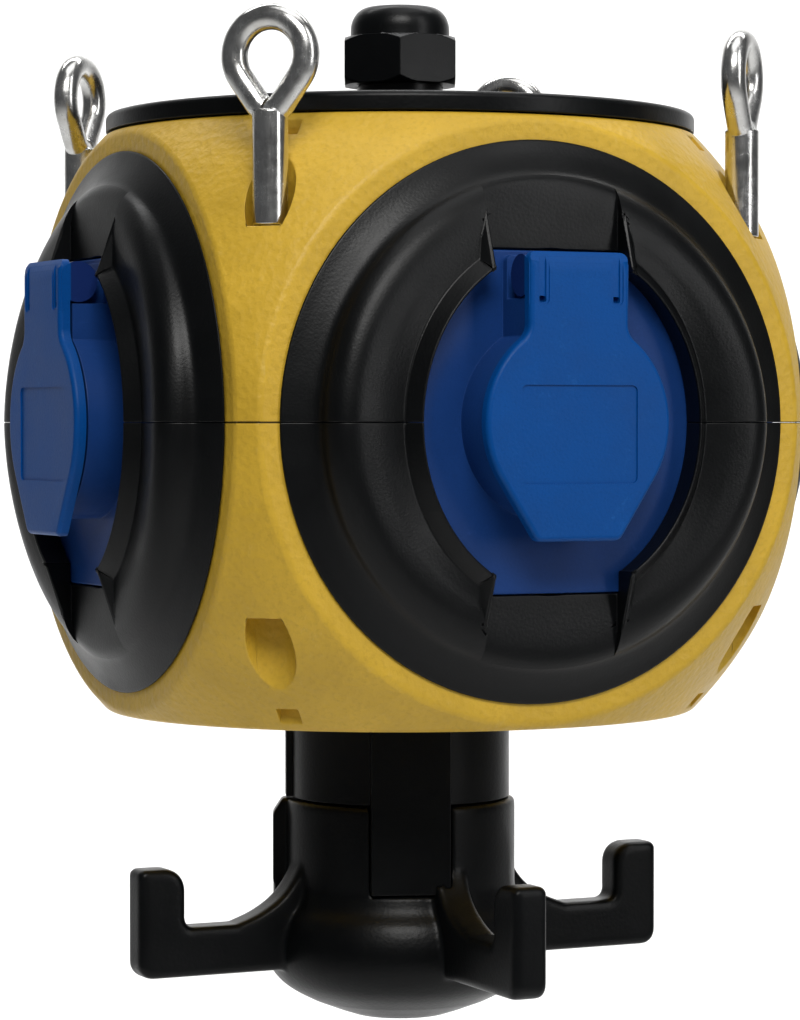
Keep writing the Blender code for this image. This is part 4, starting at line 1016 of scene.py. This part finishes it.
def gland_cap():
    """A hexagonal nut with a domed top and an open bore."""
    low = GLAND_COLLAR_TOP + GAP
    flats = CAP_ACROSS_FLATS / 2
    nut = prism(hexagon(CAP_ACROSS_FLATS, CAP_TURN), low, CAP_HEX_TOP)
    chamfer = [(0, low), (flats + 0.4, low), (flats + 2.4, low + 1.6), (flats + 2.4, CAP_HEX_TOP - 1.6)]
    chamfer += [(flats + 0.2, CAP_HEX_TOP), (0, CAP_HEX_TOP)]
    keep(nut, lathe(chamfer, LARGE))
    rise, run = CAP_TOP - CAP_HEX_TOP, CAP_DOME_RADIUS - CAP_TOP_RADIUS
    dome = [(0, CAP_HEX_TOP - 1), (CAP_DOME_RADIUS, CAP_HEX_TOP - 1)]
    dome.append((CAP_DOME_RADIUS, CAP_HEX_TOP + rise * 0.25))
    for x, y in arc((0, 0), 1.0, 8, 90, 10):
        dome.append((CAP_TOP_RADIUS + run * x, CAP_HEX_TOP + rise * (0.25 + 0.75 * y)))
    dome.append((0, CAP_TOP))
    fuse(nut, lathe(dome, LARGE))
    mouth = CAP_MOUTH_RADIUS + CAP_MOUTH_CHAMFER
    bore = stepped(0, low - 1, CAP_BORE_RADIUS, CAP_BORE_TOP, CAP_MOUTH_RADIUS, CAP_TOP - CAP_MOUTH_CHAMFER)
    bore += [(mouth, CAP_TOP), (mouth, CAP_TOP + 1), (0, CAP_TOP + 1)]
    cut(nut, lathe(bore, LARGE))
    return smoothed(bevelled(nut, 0.25))


def gland_seal():
    """A rubber bush, slightly waisted in its bore."""
    inner, outer = GLAND_SEAL_RADII
    low, high = GLAND_NECK_TOP + GAP, CAP_BORE_TOP - GAP
    waist = [(inner + 0.5 * math.cos(math.pi * s / 8) ** 2, high + (low - high) * s / 8) for s in range(9)]
    return smoothed(lathe([(outer, low), (outer, high), *waist]), 50)


# ---- Neck and hook ring


def key_block(half_width, outer, low, high, inner=20.0):
    """A rib or a slot down one side of the neck, turned to where the key stands."""
    return turned(block((-half_width, -outer, low), (half_width, -inner, high)), KEY_TURN)


def neck_tube():
    """A flanged tube with a long key down one side and a floor that the hook bolt goes through."""
    low, high = NECK_FLANGE
    outside = (NECK_FLANGE_RADIUS, low, NECK_RADIUS, NECK_SHOULDER, SPIGOT_LOW_RADIUS, SPIGOT_LOW_BOTTOM)
    inside = (HOOK_BOLT_HOLE_RADIUS, NECK_FLOOR_TOP, *NECK_LOW_BORE)
    section = stepped(NECK_BORE_RADIUS, high, *outside, *inside)
    neck = lathe([*section, (NECK_BORE_RADIUS, NECK_BORE_BOTTOM)], LARGE)
    key = key_block(KEY_HALF_WIDTH, KEY_RADIUS, SPIGOT_LOW_BOTTOM, -END_PLANE - GAP, 23.5)
    fuse(neck, key)
    low_corner = (-RIB_HALF_WIDTH, -NECK_RIB_RADIUS, NECK_SHOULDER)
    rib = block(low_corner, (RIB_HALF_WIDTH, -NECK_RADIUS + 2, -END_PLANE - GAP))
    fuse(neck, turned(rib, RIB_TURN))
    return smoothed(bevelled(neck, 0.4))


def hook():
    """One hook in the plane of X and Z: an arm that rises to the hub, and an upturned tip."""
    corners = [(29.0, HOOK_BOTTOM, 0), (HOOK_OUTER, HOOK_BOTTOM, 4.0), (HOOK_OUTER, HOOK_TIP_TOP, 1.8)]
    corners += [(HOOK_TIP_INNER, HOOK_TIP_TOP, 5.5), (HOOK_TIP_INNER, HOOK_ARM_TOP, 2.5)]
    rise = flowing([(49.0, HOOK_ARM_TOP), (42.5, -129.9), (36.5, -126.0), (32.3, -120.5), (29.0, -113.0)], 5)
    outline = rounded([*corners, (49.0, HOOK_ARM_TOP, 0)], 8)[:-1] + rise
    layers = [(-share, margin) for share, margin in HOOK_LAYERS] + list(reversed(HOOK_LAYERS))
    sections = []
    for share, margin in layers:
        sections.append([(x, share * HOOK_HALF_WIDTH, z) for x, z in inset(outline, margin)])
    return sweep(sections, False)


def hook_ring():
    """A collar that sleeves over the neck, a rounded hub and four hooks, filleted where they meet."""
    floor = SPIGOT_LOW_BOTTOM - GAP
    bore = SPIGOT_LOW_RADIUS + GAP
    bulge = flowing(RING_SECTION[3:12], 4)
    section = [*RING_SECTION[:3], *bulge, *RING_SECTION[12:], (HOOK_BOLT_HOLE_RADIUS, RING_SECTION[-1][1])]
    section += [(HOOK_BOLT_HOLE_RADIUS, floor), (bore, floor), (bore, RING_SECTION[0][1])]
    ring = lathe(section, LARGE)
    for degrees in SIDES.values():
        fuse(ring, turned(hook(), degrees))
    cut(ring, key_block(KEY_HALF_WIDTH + GAP / 2, KEY_RADIUS + GAP / 2, floor, -95))
    outline = [(-RIB_RADIUS + 5, -101), (-RIB_RADIUS + 2.6, -101), (-RIB_RADIUS, -105), (-RIB_RADIUS, -124)]
    outline += [(-RIB_RADIUS + 2, -131), (-RIB_RADIUS + 5, -131)]
    fuse(ring, turned(prism_across(outline, -RIB_HALF_WIDTH, RIB_HALF_WIDTH), RIB_TURN))
    remesh = ring.modifiers.new("remesh", "REMESH")
    remesh.mode = "VOXEL"
    remesh.voxel_size = 0.65 * MM
    smooth = ring.modifiers.new("smooth", "SMOOTH")
    smooth.factor = 0.5
    smooth.iterations = 5
    applied(ring)
    ring.data.shade_smooth()
    return ring


def hook_bolt():
    """Hexagon-headed bolt up through the hub."""
    low, high = HOOK_BOLT_HEAD
    across = HOOK_BOLT_FLATS
    bolt = prism(hexagon(across), low, high)
    rim = across / 2 + 1.2
    chamfer = [(0, low), (across / 2, low), (rim, low + 0.8), (rim, high), (0, high)]
    keep(bolt, lathe(chamfer))
    section = [(0, low + 1), (HOOK_BOLT_RADIUS, low + 1), *threaded(HOOK_BOLT_RADIUS, -130, HOOK_BOLT_TOP)]
    fuse(bolt, lathe([*section, (0, HOOK_BOLT_TOP)], 32))
    return smoothed(bolt, 30)


def add_axis_pieces(paint):
    parts = (
        (top_disc, "black_plastic"),
        (gland_body, "gland_black"),
        (gland_cap, "gland_black"),
        (gland_seal, "seal_rubber"),
        (neck_tube, "black_plastic"),
        (hook_ring, "black_plastic"),
        (hook_bolt, "zinc_steel"),
    )
    for make, slot in parts:
        place(make(), slot, paint, [(make.__name__, "housing", UPRIGHT)])


def dress_cad_nodes(paint):
    """Materials for the CAD nodes that stay: what lies inside the housing."""
    kept = {
        "disc_seal": "seal_rubber",
        "gland_locknut": "gland_black",
        "hook_nut": "zinc_steel",
        "terminal_block": "grey_plastic",
        "wiring": "cable_jacket",
    }
    for node, slot in kept.items():
        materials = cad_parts[node].data.materials
        materials.clear()
        materials.append(paint[slot])


# ---- Studio

CAMERA_TURN = 25.43
CAMERA_DISTANCE = 0.945
CAMERA_AIM_DROP = 0.02365
CAMERA_LENS = 123.5
FLOOR_DROP = 0.6
BACKDROP_DISTANCE = 2.6


def standing_at(azimuth, distance, height):
    """A point round the object: azimuth 0 is in front of it and grows towards its right."""
    a = math.radians(azimuth)
    return Vector((math.sin(a) * distance, -math.cos(a) * distance, height))


def looking_at(obj, stand, target):
    obj.location = stand
    obj.rotation_euler = (Vector(target) - Vector(stand)).to_track_quat("-Z", "Y").to_euler()


def add_camera():
    camera = bpy.data.objects.new("camera", bpy.data.cameras.new("camera"))
    bpy.context.scene.collection.objects.link(camera)
    camera.data.lens = CAMERA_LENS
    stand = standing_at(-CAMERA_TURN, CAMERA_DISTANCE, SEAM_HEIGHT)
    looking_at(camera, stand, (0, 0, SEAM_HEIGHT - CAMERA_AIM_DROP))
    bpy.context.scene.camera = camera


def add_light(name, stand, aim, size, power, colour=(1, 1, 1)):
    """A rectangular softbox."""
    light = bpy.data.objects.new(name, bpy.data.lights.new(name, "AREA"))
    bpy.context.scene.collection.objects.link(light)
    light.data.shape = "RECTANGLE"
    light.data.size, light.data.size_y = size
    light.data.energy = power
    light.data.color = colour
    looking_at(light, stand, aim)


def add_backdrop():
    """A pale floor that curves up into a wall behind the object."""
    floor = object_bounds()[0].z - FLOOR_DROP
    bend = 0.9
    profile = [(-6.0, floor), (1.0, floor)]
    profile += arc((BACKDROP_DISTANCE - bend, floor + bend), bend, 270, 360, 16)
    profile.append((BACKDROP_DISTANCE, floor + 3.6))
    points = [(x, y, z) for x in (-4.5, 4.5) for y, z in profile]
    count = len(profile)
    mesh = bpy.data.meshes.new("backdrop")
    mesh.from_pydata(points, [], [(i, i + 1, count + i + 1, count + i) for i in range(count - 1)])
    mesh.shade_smooth()
    backdrop = bpy.data.objects.new("backdrop", mesh)
    backdrop.rotation_euler.z = -math.radians(CAMERA_TURN)
    bpy.context.scene.collection.objects.link(backdrop)
    nodes = Nodes("backdrop")
    fine = nodes.noise(4, 4)
    shade = nodes.mixed(nodes.span(nodes.noise(180, 3)), (0.86, 0.86, 0.855), (0.90, 0.90, 0.895))
    mesh.materials.append(nodes.finish(shade, nodes.span(fine, 0.8, 0.9), nodes.bump(fine, 0.1, 0.2)))


def light_the_scene():
    world = bpy.data.worlds.new("studio")
    bpy.context.scene.world = world
    world.use_nodes = True
    background = world.node_tree.nodes["Background"]
    background.inputs["Color"].default_value = (0.95, 0.97, 1.0, 1)
    background.inputs["Strength"].default_value = 0.09
    middle = (0, 0, SEAM_HEIGHT)
    behind = 180 - CAMERA_TURN
    add_light("key", standing_at(-22, 1.25, 0.92), middle, (0.8, 0.55), 17, (1.0, 0.99, 0.97))
    add_light("strip", standing_at(30, 1.3, 0.4), middle, (0.22, 1.4), 5)
    add_light("top", standing_at(10, 0.3, 1.4), middle, (1.2, 0.8), 5)
    wall = standing_at(behind, BACKDROP_DISTANCE, 0.1)
    add_light("wall_high", standing_at(behind, 1.0, 1.9), wall, (3.0, 0.5), 75)
    add_light("wall_low", standing_at(behind, 1.3, -0.3), wall, (3.0, 0.2), 9)
    bpy.context.scene.view_settings.view_transform = "Standard"


def main():
    paint = make_paint()
    add_shells(paint)
    add_sides(paint)
    add_corners(paint)
    add_axis_pieces(paint)
    dress_cad_nodes(paint)
    add_backdrop()
    add_camera()
    light_the_scene()


main()
